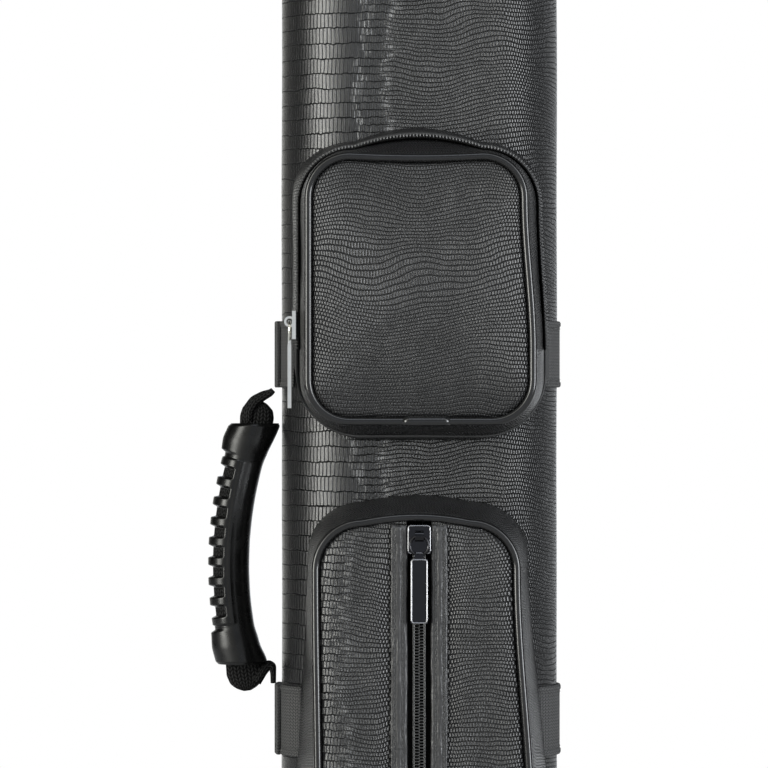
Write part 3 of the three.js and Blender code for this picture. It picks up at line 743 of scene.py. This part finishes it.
# ---- pockets ----
def wall_rows(back, front, reach0, reach1, bulge, seed=0.0, rows=12, from_case=True):
    """Rows of a pocket's side wall: outside from the rear to the front, then inside and back."""
    a, b = pocket(back), pocket(front)
    norm = outward((a + b) / 2)
    rear = case_front_reach(a[:, 0]) if from_case else np.full(len(a), reach0)
    outer, inner = [], []
    for k in range(rows + 1):
        s = k / rows
        reach = rear + (reach1 - rear) * s
        t = np.clip((reach - reach0) / (reach1 - reach0), 0, 1)
        xz = a + (b - a) * t[:, None]
        soft = bulge * math.sin(math.pi * s) * (0.75 + 0.5 * smooth_noise(put(xz, reach), 0.05, seed))
        outer.append(put(xz + norm * soft[:, None], reach))
        inner.append(put(xz + norm * (soft[:, None] - WALL_T), reach))
    return outer + inner[::-1]


def case_front_reach(x):
    """Reach (from the front plane, negative behind it) of the case's surface at x."""
    over = np.maximum(0, np.abs(x) - STRAIGHT)
    r = R_COVER + 0.25
    y = -np.sqrt(np.maximum(1.0, r * r - over * over))
    return FRONT - y


def piping(name, o, body, node, join):
    """A piped edge on its lip, with a thicker join between two places along the bottom."""
    reach = REACH + GAP + PIPING_R
    xz = pocket(o, PIPING_R)
    path = put(xz, reach + 0.25 * np.sin(np.arange(len(xz)) * 0.13))
    tube(name, path, PIPING_R, PIPING, body, True, 14, replaces=[node], slot="piping")
    rear, front = reach - PIPING_R - 0.1, reach - PIPING_R + 0.5
    corners = ((0.7, rear), (0.7, front), (PIPING_R + 1.6, front), (PIPING_R + 1.6, rear))
    loft(name + "_lip", [put(pocket(o, inset), r) for inset, r in corners], BINDING, body, True, True)
    keep = [p for p in path if join[0] <= p[0] <= join[1] and p[2] < path[:, 2].mean()]
    keep = sorted(keep, key=lambda p: p[0])
    last = len(keep) - 1
    swell = [PIPING_R + 0.5 * min(1, 9 * (1 - abs(2 * i / last - 1))) for i in range(len(keep))]
    tube(name + "_join", keep, swell, PIPING, body, False, 14)


def front_panel(name, rows, material, body, node):
    """A padded panel whose pattern lies flat as seen from the front."""
    points, faces, _ = surface(rows, False, True)
    made = make(name, points, faces, flat_uvs(points, faces), material, body,
                replaces=[node], slot="leatherette")


def add_upper_face():
    """The flap's closed panel, whose front rises from its outline to a crowned middle."""
    o = UPPER_FACE
    edge, reach, crown = pocket(o, 4.2), REACH + GAP + 2.5, 9.5
    centre = np.array([(o.left + o.right) / 2, (o.bottom + o.top) / 2])
    rows = []
    for s in np.concatenate([np.linspace(0.02, 0.9, 34), np.linspace(0.915, 1.0, 9)]):
        xz = centre + (edge - centre) * s
        rise = crown * (1 - s ** 2.7)
        soft = 0.28 * smooth_noise(put(xz, 0.0), 0.07) * (1 - s ** 6)
        tuck = -1.1 * max(0, (s - 0.955) / 0.045) ** 2
        rows.append(put(xz, reach + rise + soft + tuck))
    rows += [put(centre + (edge - centre) * s, reach - 2.3) for s in (1.0, 0.6, 0.02)]
    front_panel("upper_face", rows, LEATHER_UPPER, "flap", "upper_pocket_face")


def zip_teeth(name, path, normal, pitch, material, body, length, wide, tall):
    """Coil teeth across a seam: one bead a pitch."""
    places = []
    for p, d in along(path, pitch):
        out = facing(normal, p)
        places.append((p, (unit(np.cross(out, d)), d, out)))
    return many(name, bead(length, wide, tall), places, material, body, slot="zip_nylon")


def chain_path(offset, reach):
    """The upper zip's line from its left end over the top to its right end."""
    seam = pocket(UPPER_SEAM)
    xz = seam + outward(seam) * offset
    top = xz[:, 1].argmax()
    order = np.roll(np.arange(len(xz)), -top)
    half = len(order) // 2
    ring = np.concatenate([order[half:], order[:half]])
    line = [xz[i] for i in ring if xz[i][1] >= UPPER_ZIP_END]
    line = line[::-1] if line[0][0] > line[-1][0] else line
    return put(np.array(line), reach)


def outline_normal(p):
    """Outward direction in the plane of the pocket's outline, for the upper zip's chain."""
    centre_x = np.clip(p[0], -38, 38)
    centre_z = min(p[2], 619)
    v = np.array([p[0] - centre_x, 0, p[2] - centre_z])
    return v if np.linalg.norm(v) > 1e-6 else np.array([0, 0, 1.0])


def add_upper_pocket():
    base = wall_rows(UPPER_BASE, UPPER_SEAM, CASE_REACH, SEAM_REACH - 0.25, 0.9)
    loft("upper_gusset", base, LEATHER_FLAP, "case", True, True,
         replaces=["upper_pocket_base_gusset"], slot="leatherette")
    flap = wall_rows(UPPER_SEAM, UPPER_FACE, SEAM_REACH + 0.25, REACH, 0.7, 3.0, from_case=False)
    loft("upper_flap_gusset", flap, LEATHER_FLAP, "flap", True, True,
         replaces=["upper_pocket_flap_gusset"], slot="leatherette")
    piping("upper_piping", UPPER_FACE, "flap", "upper_pocket_piping", (-12, 16))
    add_upper_face()

    for side, body, node in ((-1, "case", "upper_zip_chain_base"), (1, "flap", "upper_zip_chain_flap")):
        path = chain_path(1.7, SEAM_REACH + side * 1.35)
        teeth = zip_teeth(f"upper_zip_teeth_{body}", path, outline_normal, 1.75, GLINT_GREY_NYLON, body, 2.2, 0.85, 2.6)
        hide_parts(node)
        section = []
        for off, away in ((0.1, 0.3), (0.75, 0.3), (1.0, 5.2), (0.35, 5.2)):
            section.append(chain_path(off, SEAM_REACH + side * away))
        loft(f"upper_zip_tape_{body}", section, TAPE, body, True, False)
    seam, foot = pocket(UPPER_SEAM), pocket(UPPER_BASE)
    rows = []
    for off, behind in ((0.15, 4.8), (0.9, 5.1), (1.1, 6.3), (0.9, 7.4), (0.15, 7.6), (-0.6, 6.3)):
        xz = seam + (foot - seam) * (behind / (SEAM_REACH - CASE_REACH))
        rows.append(put(xz + outward(xz) * (off + 0.35), SEAM_REACH - behind))
    loft("upper_zip_binding", rows, BINDING, "case", True, True)


def add_lower_pocket():
    wall = wall_rows(LOWER_BASE, LOWER_FACE, CASE_REACH, REACH, 1.4, 5.0, 18)
    loft("lower_gusset", wall, LEATHER_GUSSET, "case", True, True,
         replaces=["lower_pocket_gusset"], slot="leatherette")
    piping("lower_piping", LOWER_FACE, "case", "lower_pocket_piping", (-9, 14))
    for side, name in ((-1, "left"), (1, "right")):
        lower_panel(side, name)
        zip_strip(side, name)
    add_lower_zip()


def lower_panel(side, name):
    """One half of the lower pocket's front: crowned between its piping and the zip."""
    ring = pocket(LOWER_FACE, PIPING_R * 2 - 0.2, 24, 40)
    half = np.array(sorted([p for p in ring if side * (p[0] - 2) > 0], key=lambda p: p[1]))
    low, high = ring[:, 1].min(), ring[:, 1].max()
    middle, reach = (low + high) / 2, (high - low) / 2
    inner = ZIP_X + side * ZIP_HALF_SLOT
    t = np.linspace(-1, 1, 150)
    levels = middle + reach * np.sign(t) * (1 - (1 - np.abs(t)) ** 1.9)
    levels = np.clip(levels, low + 0.02, high - 0.02)
    edge = REACH + GAP + 2.4
    front, back = [], []
    for z in levels:
        outer = np.interp(z, half[:, 1], half[:, 0])
        a = np.linspace(0, 1, 30)
        a = a * a * (3 - 2 * a) * 0.35 + a * 0.65
        x = inner + (outer - inner) * a
        ends = min(1.0, min(z - low, high - z) / 26)
        ends = 1 - (1 - ends) ** 2.2
        past_strip = np.clip((np.abs(x - inner) - 9.0) / (abs(outer - inner) - 9.0), 0, 1)
        across = 1 - np.abs(2 * past_strip - 1) ** 2.4
        rise = 4.6 * across * ends
        tuck = -1.0 * np.maximum(0, (a - 0.94) / 0.06) ** 2
        soft = 0.3 * smooth_noise(spread(x, 0.0, z), 0.06, 7.0 * side) * across * ends
        front.append(spread(x, FRONT - (edge + rise + soft + tuck), z))
        back.append(spread(x, FRONT - (edge - 2.2), z)[::-1])
    rows = np.concatenate([front, back], 1)
    front_panel(f"lower_panel_{name}", rows, LEATHER_LOWER, "case", f"lower_pocket_panel_{name}")


def zip_strip(side, name):
    """A folded strip beside the zip, with two stitch rows."""
    x0 = ZIP_X + side * ZIP_HALF_SLOT
    base = REACH + GAP + 2.5 + 0.1
    section = [(0, -1.6), (-0.45, -0.6), (-0.2, 1.1), (0.8, 1.8), (2.1, 1.2), (3.3, 1.9),
               (5.2, 1.9), (6.6, 1.2), (7.8, 1.7), (8.5, 1.0), (8.5, 0.1), (4, -0.2)]
    levels = np.linspace(ZIP_BOTTOM, ZIP_TOP, 120)
    wave = 0.12 * np.sin(levels * 0.11 + side) + 0.08 * np.sin(levels * 0.37)
    rows = [spread(x0 + side * off + wave, FRONT - base - rise, levels) for off, rise in section]
    loft(f"zip_strip_{name}_fold", rows, CRINKLED, "case", True, False,
         replaces=[f"zip_strip_{name}"], slot="leatherette")
    for k, off in enumerate((2.1, 6.6)):
        path = [(x0 + side * off, FRONT - base - 1.6, z) for z in (ZIP_BOTTOM + 2, ZIP_TOP - 2)]
        stitch_row(f"zip_strip_{name}_stitches_{k}", path, TO_FRONT, "case", 3.3, thread=0.9)


def add_lower_zip():
    coil_reach = REACH + GAP + 1.4
    tape_x = np.array([-15, -6.2, -4.4, -1.0, 1.0, 4.4, 6.2, 15]) + ZIP_X
    levels = np.linspace(ZIP_BOTTOM, ZIP_TOP, 40)
    rows = [spread(x, FRONT - (REACH - GAP * 2), levels) for x in tape_x]
    rows += [spread(x, FRONT - (REACH - 1.2), levels) for x in tape_x[::-1]]
    loft("lower_tape", rows, TAPE, "case", True, False, replaces=["lower_zip_tape"], slot="webbing")
    for side, name, shift in ((-1, "l", 0.0), (1, "r", 0.75)):
        path = [(ZIP_X + side * 1.15, FRONT - coil_reach, z + shift) for z in (ZIP_BOTTOM, ZIP_TOP)]
        made = zip_teeth("lower_zip_teeth_" + name, path, TO_FRONT, 1.6, COIL_NYLON, "case", 3.3, 0.95, 2.0)
        if side < 0:
            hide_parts("lower_zip_coil")
        cord = [(ZIP_X + side * 2.9, FRONT - coil_reach + 0.2, z) for z in levels]
        tube("lower_zip_cord_" + name, cord, 0.75, COIL_NYLON, "case", False, 8)


# ---- handle ----
GRIP_A = np.array([-89.3, 496.5])
GRIP_B = np.array([-113.2, 431.0])
GRIP_C = np.array([-96.3, 365.5])


def grip_at(t):
    p = (1 - t) ** 2 * GRIP_A + 2 * t * (1 - t) * GRIP_B + t * t * GRIP_C
    d = 2 * (1 - t) * (GRIP_B - GRIP_A) + 2 * t * (GRIP_C - GRIP_B)
    return p, d / np.linalg.norm(d)


def bump_at(value, centre, half, soft):
    """1 inside centre +- half, falling smoothly to 0 over soft."""
    x = np.clip((half + soft - np.abs(value - centre)) / soft, 0, 1)
    return x * x * (3 - 2 * x)


def add_grip():
    """The moulded grip: flared collars, a row of sunk windows on its outer side and ribs between them."""
    first, last, ribs = 0.174, 0.812, 9
    half_across, half_deep, sunk = 10.75, 11.5, 2.7
    bore_across, bore_deep = 3.3, 7.8
    pitch = (last - first) / (ribs - 1)
    columns, rows = 72, []
    ts = np.linspace(0, 1, 340)

    def ring(t, hollow=False):
        p, d = grip_at(t)
        out = np.array([d[1], -d[0]])
        out = out if out[0] < 0 else -out
        level = bump_at(t, 0.0, 0.0, 0.13) + bump_at(t, 1.0, 0.0, 0.13)
        out = unit(out * (1 - level) + np.array([-1.0, 0.0]) * level)
        proud = bump_at(t, 0.0, 0.13, 0.012) + bump_at(t, 1.0, 0.145, 0.012)
        collar = 1.15 * (bump_at(t, 0.0, 0.07, 0.09) + bump_at(t, 1.0, 0.07, 0.09))
        end = -1.0 * (bump_at(t, 0.0, 0.0, 0.012) + bump_at(t, 1.0, 0.0, 0.012))
        result = []
        for k in range(columns):
            a = 2 * math.pi * k / columns
            ca, sa = math.cos(a), math.sin(a)
            flare = 2.0 * (bump_at(t, 0.0, 0.012, 0.09) + bump_at(t, 1.0, 0.012, 0.07)) * max(0.0, -ca) ** 4
            across = half_across + collar + end + flare + 2.4 * proud * max(0.0, ca) ** 0.6
            deep = half_deep + collar + end
            if hollow:
                across, deep = bore_across, bore_deep
            elif first - pitch * 0.9 < t < last + pitch * 0.9 and ca > -0.3:
                zone = bump_at(t, (first + last) / 2, (last - first) / 2 + 0.012, 0.01)
                near = (t - first) / pitch
                turn = abs(a if a < math.pi else a - 2 * math.pi)
                gap_from_rib = abs(near - round(near))
                window = bump_at(turn, 0.0, 1.16, 0.14) * (1 - bump_at(gap_from_rib, 0.0, 0.17, 0.12)) * zone
                outer_side = bump_at(turn, 0.0, 1.3, 0.3) * zone
                swell = outer_side - sunk * window + bump_at(turn, 1.6, 0.03, 0.05) * zone
                across += swell
                deep += swell * 0.8
            x, z = p + out * across * ca
            result.append((x, deep * sa, z))
        return result

    for t in ts:
        rows.append(ring(t))
    for t in ts[::-17]:
        rows.append(ring(t, True))
    made = loft("grip", rows, GRIP, "handle", True, True, replaces=["handle_grip"], slot="grip")
    made.data.materials.append(WEBBING)
    n = len(rows[0])
    for index, polygon in enumerate(made.data.polygons):
        i, j = index // n, index % n
        if i >= len(ts):
            continue
        t = ts[i]
        near = (t - first) / pitch
        a = 2 * math.pi * j / columns
        a = a if a < math.pi else a - 2 * math.pi
        between_ribs = abs(near - round(near)) > 0.30
        if first < t < last and between_ribs and abs(a) < 1.15:
            polygon.material_index = 1


def webbing_sweep(name, stations, body, **more):
    """Webbing along stations of (x, y, z, half width, half thickness, turn in degrees)."""
    pts = np.array([s[:3] for s in stations], float)
    s = lengths(pts)
    dense = np.linspace(0, s[-1], 60)
    smooth = []
    for c in range(6):
        values = np.array([st[c] for st in stations], float)
        fine = np.interp(dense, s, values)
        for _ in range(6):
            fine[1:-1] = (fine[:-2] + 2 * fine[1:-1] + fine[2:]) / 4
        smooth.append(fine)
    x, y, z, wide, thick, turn = smooth
    path = np.column_stack([x, y, z])
    rows = []
    for i in range(len(path)):
        d = unit(path[min(i + 1, len(path) - 1)] - path[max(i - 1, 0)])
        first = unit(np.cross(d, np.cross(np.array([0, 1.0, 0]), d)))
        second = unit(np.cross(d, first))
        a0 = math.radians(turn[i])
        u = first * math.cos(a0) + second * math.sin(a0)
        w = -first * math.sin(a0) + second * math.cos(a0)
        row = []
        for k in range(20):
            a = 2 * math.pi * k / 20
            ca, sa = math.cos(a), math.sin(a)
            flat = abs(ca) ** 0.6 * math.copysign(1, ca)
            row.append(path[i] + u * wide[i] * flat + w * thick[i] * sa)
        rows.append(row)
    return loft(name, rows, WEBBING, body, False, True, **more)


def add_handle_webbing():
    runs = {
        "top": [(-89.5, 0, 486, 7.0, 2.6, 88), (-89.0, 0, 494, 8.8, 3.6, 88), (-88.4, 0.3, 500, 9.3, 4.0, 90),
                (-88.0, 0.5, 504.5, 8.3, 3.6, 92), (-87.6, 0.5, 507.4, 5.2, 2.8, 92),
                (-87.5, 0.5, 508.7, 2.0, 1.2, 92)],
        "top_strand": [(-93.6, -2.0, 498, 3.4, 2.6, 60), (-93.2, -2.0, 503.5, 3.6, 2.4, 50),
                       (-89.8, -1.4, 508.6, 3.6, 2.2, 40), (-84.8, -0.6, 511.6, 3.8, 2.0, 25),
                       (-81.0, 0, 513.2, 4.4, 1.8, 8), (-79.6, 0, 514.6, 5.0, 1.6, 0)],
        "bottom": [(-96.6, 0, 375, 7.0, 2.6, 88), (-95.9, 0, 367, 9.6, 3.2, 90),
                   (-94.9, 0.3, 360.5, 10.2, 4.0, 90), (-94.2, 0.5, 355.5, 8.8, 3.6, 90),
                   (-93.8, 0.5, 352.4, 5.6, 2.8, 90), (-93.6, 0.5, 350.9, 2.0, 1.2, 90)],
        "bottom_strand": [(-89.0, -2.0, 356, 3.0, 2.6, 60), (-85.2, -1.2, 361.8, 2.8, 2.4, 50),
                          (-82.2, -0.4, 365.2, 2.8, 2.1, 30), (-79.9, 0, 364.4, 3.6, 1.8, 10),
                          (-79.5, 0, 360, 4.6, 1.6, 0), (-79.5, 0, 355.2, 5.0, 1.5, 0)],
    }
    for name, stations in runs.items():
        made = webbing_sweep("handle_webbing_" + name, stations, "handle", slot="webbing")
        if name == "top":
            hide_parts("handle_webbing")


# ---- closure, hinge and strap fittings ----
def slab_rows(outline, front, back, edge, puff):
    """Rows of a flat piece with softened edges, from an outline of (x, z)."""
    ring = np.asarray(outline, float)
    centre = ring.mean(0)

    def at(xz, y):
        return spread(xz[:, 0], y, xz[:, 1])

    rows = [at(centre + (ring - centre) * s, front - puff * (1 - s ** 2)) for s in (0.03, 0.35, 0.7, 0.9)]
    soft = edge * 0.3
    for off, y in ((-edge, front), (-soft, front + soft), (0, front + edge),
                   (0, back - edge), (-soft, back - soft), (-edge, back)):
        rows.append(at(ring + outward(ring) * off, y))
    return rows + [at(centre + (ring - centre) * s, back) for s in (0.7, 0.03)]


def rounded_box_outline(x0, x1, z0, z1, r, steps=8):
    left, right, low, high = x0 + r, x1 - r, z0 + r, z1 - r
    points = []
    for cx, cz, a0 in ((right, low, -0.5), (right, high, 0), (left, high, 0.5), (left, low, 1.0)):
        for k in range(steps + 1):
            a = (a0 + 0.5 * k / steps) * math.pi
            points.append((cx + r * math.cos(a), cz + r * math.sin(a)))
    return points


def add_closure():
    y_keeper = FRONT - GAP
    strap_back = y_keeper - 2 * (1.2 + GAP)
    strap_front = strap_back - 2.0
    anchor = rounded_box_outline(-17, 17, 768, 784, 1.2)
    loft("closure_anchor", slab_rows(anchor, strap_front, y_keeper, 0.7, 0.3), BINDING, "lid", False, True,
         replaces=["tab_anchor"], slot="plain_vinyl")
    outline = []
    half, low = 17.0, 727 + 17.0
    for k in range(25):
        a = math.pi + math.pi * k / 24
        outline.append((half * math.cos(a), low + half * math.sin(a)))
    for z in np.linspace(low + 4, 766.5, 8):
        outline.append((half, z))
    for x in np.linspace(half - 1, 1 - half, 9):
        outline.append((x, 767.6))
    for z in np.linspace(766.5, low + 4, 8):
        outline.append((-half, z))
    loft("closure_strap", slab_rows(outline, strap_front, strap_back, 0.5, 0.25), BINDING, "tab", False, True,
         replaces=["closure_tab"], slot="plain_vinyl")
    inset = np.asarray(outline) - outward(np.asarray(outline)) * 2.6
    stitch_outline("closure_stitches", inset, strap_front - 0.15, TO_FRONT, "tab", 3.4)
    box = rounded_box_outline(-14.4, 14.4, 770.4, 781.6, 1)
    stitch_outline("closure_anchor_stitches", box, strap_front - 0.3, TO_FRONT, "lid", 3.2)


def add_hinge_strip():
    y0, y1 = R_COVER + GAP, R_COVER + GAP + 1.5
    z0, z1 = JOINT_Z - 32, JOINT_Z + 32.6
    rows = []
    levels = np.concatenate([np.linspace(z0, 738, 12), np.linspace(739, 750, 23), np.linspace(751, z1, 12)])
    section = [(-32, y0), (-32, y1 - 0.4), (-31.4, y1)] + [(x, y1) for x in np.linspace(-28, 28, 11)]
    section += [(31.4, y1), (32, y1 - 0.4), (32, y0)] + [(x, y0) for x in np.linspace(28, -28, 9)]
    for z in levels:
        rows.append([(x, y, z) for x, y in section])
    bend = ("case", "lid", (0, 0.0438, 0.7385), (0, 0.0438, 0.750))
    made = loft("hinge_strip", rows, LEATHER_GUSSET, None, False, True, blend=bend)
    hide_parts("hinge_strip_body", "hinge_strip_lid")
    for body, zs in (("case", (z0 + 2.5, z0 + 6)), ("lid", (z1 - 6, z1 - 2.5))):
        for k, z in enumerate(zs):
            path = [(-30, y1 + 0.05, z), (30, y1 + 0.05, z)]
            stitch_row(f"hinge_stitches_{body}_{k}", path, TO_BACK, body, 3.4)


def add_strap_tabs():
    for where, bar in (("upper", 663.0), ("lower", 132.0)):
        y_bar, r = R_COVER + GAP + 3.5, 3.15
        line = [(y_bar - 3.5 + 1.0, bar + 38), (y_bar - 2.4, bar + 24), (y_bar - 2.5, bar + 10)]
        line += [(y_bar - r + 0.4, bar + 4)]
        line += [(y_bar - r * math.cos(a), bar - r * math.sin(a)) for a in np.linspace(0, math.pi, 12)]
        line += [(y_bar + 2.6, bar + 4), (y_bar + 0.4, bar + 9)]
        line += [(y_bar - 0.75, bar + 14), (y_bar - 0.75, bar + 34)]
        line = np.array(line)
        d = np.gradient(line, axis=0)
        side = np.column_stack([d[:, 1], -d[:, 0]])
        side /= np.linalg.norm(side, axis=1)[:, None]
        half_t = 0.6
        edge = np.concatenate([line + side * half_t, (line - side * half_t)[::-1]])
        xs = np.concatenate([[-14, -13.7], np.linspace(-12, 12, 9), [13.7, 14]])
        rows = [[(x, y, z) for x in xs] for y, z in edge]
        loft(f"strap_tab_{where}_webbing", rows, WEBBING, "case", True, False,
             replaces=[f"strap_tab_{where}"], slot="webbing")
        y = y_bar - 0.05
        box = rounded_box_outline(-11, 11, bar + 17, bar + 32, 1)
        stitch_outline(f"strap_tab_{where}_stitches", box, y, TO_BACK, "case", 3.0)
        for k, slope in enumerate((1, -1)):
            path = [(-10, y, bar + 24.5 - slope * 6.5), (10, y, bar + 24.5 + slope * 6.5)]
            stitch_row(f"strap_tab_{where}_cross_{k}", path, TO_BACK, "case", 3.0)


def add_back_seam():
    y = R_COVER
    rows = []
    for x, r in ((-8, -0.05), (-7.7, 0.5), (0, 0.6), (7.7, 0.5), (8, -0.05), (0, -0.1)):
        rows.append([(x, y + r * 0.45, z) for z in np.linspace(33, 711, 60)])
    loft("back_seam", rows, LEATHER_GUSSET, "case", True, False)


# ---- inside ----
def soft_pad(node):
    """A plush pad with rounded edges in place of a plain wall."""
    lo, hi = [np.array([v * 1000 for v in corner]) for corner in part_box(node)]
    centre, size = (lo + hi) / 2, hi - lo
    thin = int(np.argmin(size))
    wide = 1 - thin
    half_t, half_w = size[thin] / 2, size[wide] / 2
    edge = min(1.1, half_t * 0.95)
    section = []
    for sx, sy, start in ((1, -1, -0.5), (1, 1, 0), (-1, 1, 0.5), (-1, -1, 1.0)):
        for k in range(5):
            a = (start + 0.5 * k / 4) * math.pi
            w, t = sx * (half_w - edge) + edge * math.cos(a), sy * (half_t - edge) + edge * math.sin(a)
            section.append((w, t))
    z0, z1 = lo[2], hi[2]
    low, high = [z0, z0 + edge * 0.4, z0 + edge], [z1 - edge, z1 - edge * 0.4, z1]
    rows = []
    for z in np.concatenate([low, np.linspace(z0 + 6, z1 - 6, 28), high]):
        inset = max(0.0, edge - min(z - z0, z1 - z))
        inset = edge - math.sqrt(max(0, edge * edge - inset * inset))
        row = []
        for w, t in section:
            point = np.array([0.0, 0.0, z])
            point[wide] = centre[wide] + (w - math.copysign(min(abs(w), inset), w))
            point[thin] = centre[thin] + (t - math.copysign(min(abs(t), inset), t))
            row.append(point)
        rows.append(row)
    made = loft(node + "_pad", rows, PLUSH, "case", False, True, replaces=[node], slot="plush")


def add_interior():
    for node in ("divider_wall", "butt_divider_left", "butt_divider_right",
                 "shaft_divider_1", "shaft_divider_2", "shaft_divider_3", "shaft_divider_4"):
        soft_pad(node)
    liner = rounded_section(R_CAVITY, R_LINER, 16.6, JOINT_Z - RIM_T - 17.3, 1.2)
    loft("liner_plush", ring_rows(liner), PLUSH, "case", True, True, replaces=["liner"], slot="plush")
    z0, z1 = JOINT_Z - RIM_T - 17, JOINT_Z + 9
    outer = 35.9
    collar = [(R_LINER - 0.1, z0), (R_LINER - 0.1, JOINT_Z - RIM_T - 0.3), (outer, JOINT_Z - RIM_T),
              (outer, z1 - 1), (outer - 0.5, z1 - 0.2), (outer - 0.95, z1), (R_CAVITY + 0.3, z1 - 0.5),
              (R_CAVITY, z1 - 1.2), (R_CAVITY, z0 + 12), (R_CAVITY, z0)]
    loft("mouth_collar_plush", ring_rows(collar), PLUSH, "case", True, True,
         replaces=["mouth_collar"], slot="plush")
    lid_foot, lid_top = JOINT_Z + 12, HEIGHT - 3 - GAP - 3 - GAP - 8 - GAP
    lid = rounded_section(R_CAVITY, R_LINER, lid_foot, lid_top, 1.2)
    loft("lid_liner_plush", ring_rows(lid), PLUSH, "lid", True, True, replaces=["lid_liner"], slot="plush")
    for node, body, face, rear in (("floor_pad", "case", 16.3, 4.3),
                                   ("lid_pad", "lid", lid_top + GAP, lid_top + GAP + 8)):
        up = 1 if face > rear else -1
        profile = [(r, face - up * 0.6 * (r / 37) ** 4) for r in np.linspace(1.2, R_LINER - 2, 12)]
        profile += [(R_LINER - 0.4, face - up * 1.6), (R_LINER, (face + rear) / 2)]
        profile += [(R_LINER - 0.4, rear + up * 0.4), (R_LINER - 6, rear), (1.2, rear)]
        made = loft(node + "_plush", ring_rows(profile), PLUSH, body, True, True, replaces=[node], slot="foam")


# ---- lighter metal rims on the lower slider and its pull, as painted glints on their edges ----
def add_glint_rims():
    bar_y, bar_z = -84.1, 438.0
    glint_rims = (("lower_slider_glint_rim", "lower_slider", 5.7, bar_z - 9.0, bar_z + 5.4, bar_y + 1.5),
             ("lower_pull_glint_rim", "lower_pull", 4.1, 392.5, 425.7, bar_y - 0.9))
    for name, body, half, low, high, y in glint_rims:
        ring = rounded_box_outline(ZIP_X - half, ZIP_X + half, low, high, 1.4)
        # painted highlight: rims of lighter metal on the black nickel stand in for glints on the bevelled
        # edges
        tube(name, [(x, y, z) for x, z in ring], 0.42, GLINT_RIM_METAL, body, True, 8)


# ---- finishes on the CAD nodes that stay ----
def finish_nodes():
    bright = ("upper_zip_slider", "upper_zip_pull", "keeper_plate", "tab_magnet")
    dark = ("lower_zip_slider", "lower_zip_pull", "tab_cap", "strap_ring_upper", "strap_ring_lower")
    metals = dict.fromkeys(bright, NICKEL) | dict.fromkeys(dark, BLACK_NICKEL)
    for name, node in NODES.items():
        if node.hide_render:
            continue
        material = metals.get(name, SHELL)
        node.data.materials.clear()
        node.data.materials.append(material)
        weld = node.modifiers.new("weld", "WELD")
        weld.merge_threshold = 0.00001
        if name in metals:
            bevel = node.modifiers.new("bevel", "BEVEL")
            bevel.width = 0.0005
            bevel.segments = 3
            bevel.limit_method = "ANGLE"
            bevel.angle_limit = math.radians(40)
            bevel.harden_normals = False


# ---- stage and light ----
def add_stage():
    mesh = bpy.data.meshes.new("floor")
    size = 2.6
    corners = [(-size, -size, 0), (size, -size, 0), (size, size, 0), (-size, size, 0)]
    mesh.from_pydata(corners, [], [(0, 1, 2, 3)])
    n = shader_nodes("floor_paper")
    grain = n.grain(n.object_mm(), 0.2, 3.0)
    paper = n.colour(grain, (0.8,) * 3, (0.84,) * 3)
    mesh.materials.append(n.finish(paper, n.ramp(grain, 0, 1, 0.75, 0.9)))
    floor = bpy.data.objects.new("floor", mesh)
    bpy.context.scene.collection.objects.link(floor)
    floor.location.z = -0.0005


def add_light():
    """A soft studio all round: two broad side lights, dim wings behind them and a pale backdrop."""
    world = bpy.data.worlds.new("studio")
    bpy.context.scene.world = world
    n = Nodes(world, "OutputWorld")
    axes = n.add("SeparateXYZ", {0: n.add("TexCoord").outputs["Generated"]}).outputs

    def lit(axis, *stops):
        """Light along one axis of the view direction, as (place, grey) or (place, colour) stops."""
        made = n.add("ValToRGB", {0: n.ramp(axes[axis], -1, 1, kind="LINEAR")})
        elements = made.color_ramp.elements
        elements.remove(elements[-1])
        for k, (place, value) in enumerate(stops):
            stop = elements.new(place) if k else elements[0]
            stop.position = place
            stop.color = (*value, 1) if isinstance(value, tuple) else (value, value, value, 1)
        return made.outputs[0]

    front_to_back = lit(1, (0.0, 0.048), (0.08, 0.06), (0.13, 0.125), (0.165, 0.5), (0.195, 1.0), (0.28, 1.0),
                        (0.305, 0.4), (0.345, 0.03), (0.5, 0.012), (0.63, 0.0), (0.80, 0.006), (0.92, 0.028),
                        (0.96, 0.05), (1.0, 0.13))
    upward = lit(2, (0.2, 0.35), (0.36, 0.6), (0.44, 1.0), (0.58, 1.0), (0.68, 0.5), (0.82, 0.18),
                 (0.95, 0.18), (1.0, 0.5))
    sideways = lit(0, (0.35, (0.9, 0.9, 0.85)), (0.5, (0.84, 0.9, 1.0)), (0.65, (0.94, 0.97, 1.0)))
    tint = n.vector("MULTIPLY", n.vector("MULTIPLY", front_to_back, upward), sideways)
    light = n.add("Background", {0: tint, 1: 19.0})
    backdrop = n.add("Background", {0: (1, 1, 1, 1), 1: 1.0})
    seen = n.add("LightPath").outputs["Is Camera Ray"]
    choose = n.add("MixShader", {0: seen, 1: light.outputs[0], 2: backdrop.outputs[0]})
    n.put(n.out.inputs[0], choose.outputs[0])
    bpy.context.scene.view_settings.view_transform = "Standard"


add_covers()
add_rims()
add_bands()
add_anchors()
add_upper_pocket()
add_lower_pocket()
add_grip()
add_handle_webbing()
add_closure()
add_hinge_strip()
add_strap_tabs()
add_back_seam()
add_interior()
add_glint_rims()
finish_nodes()
add_stage()
add_light()
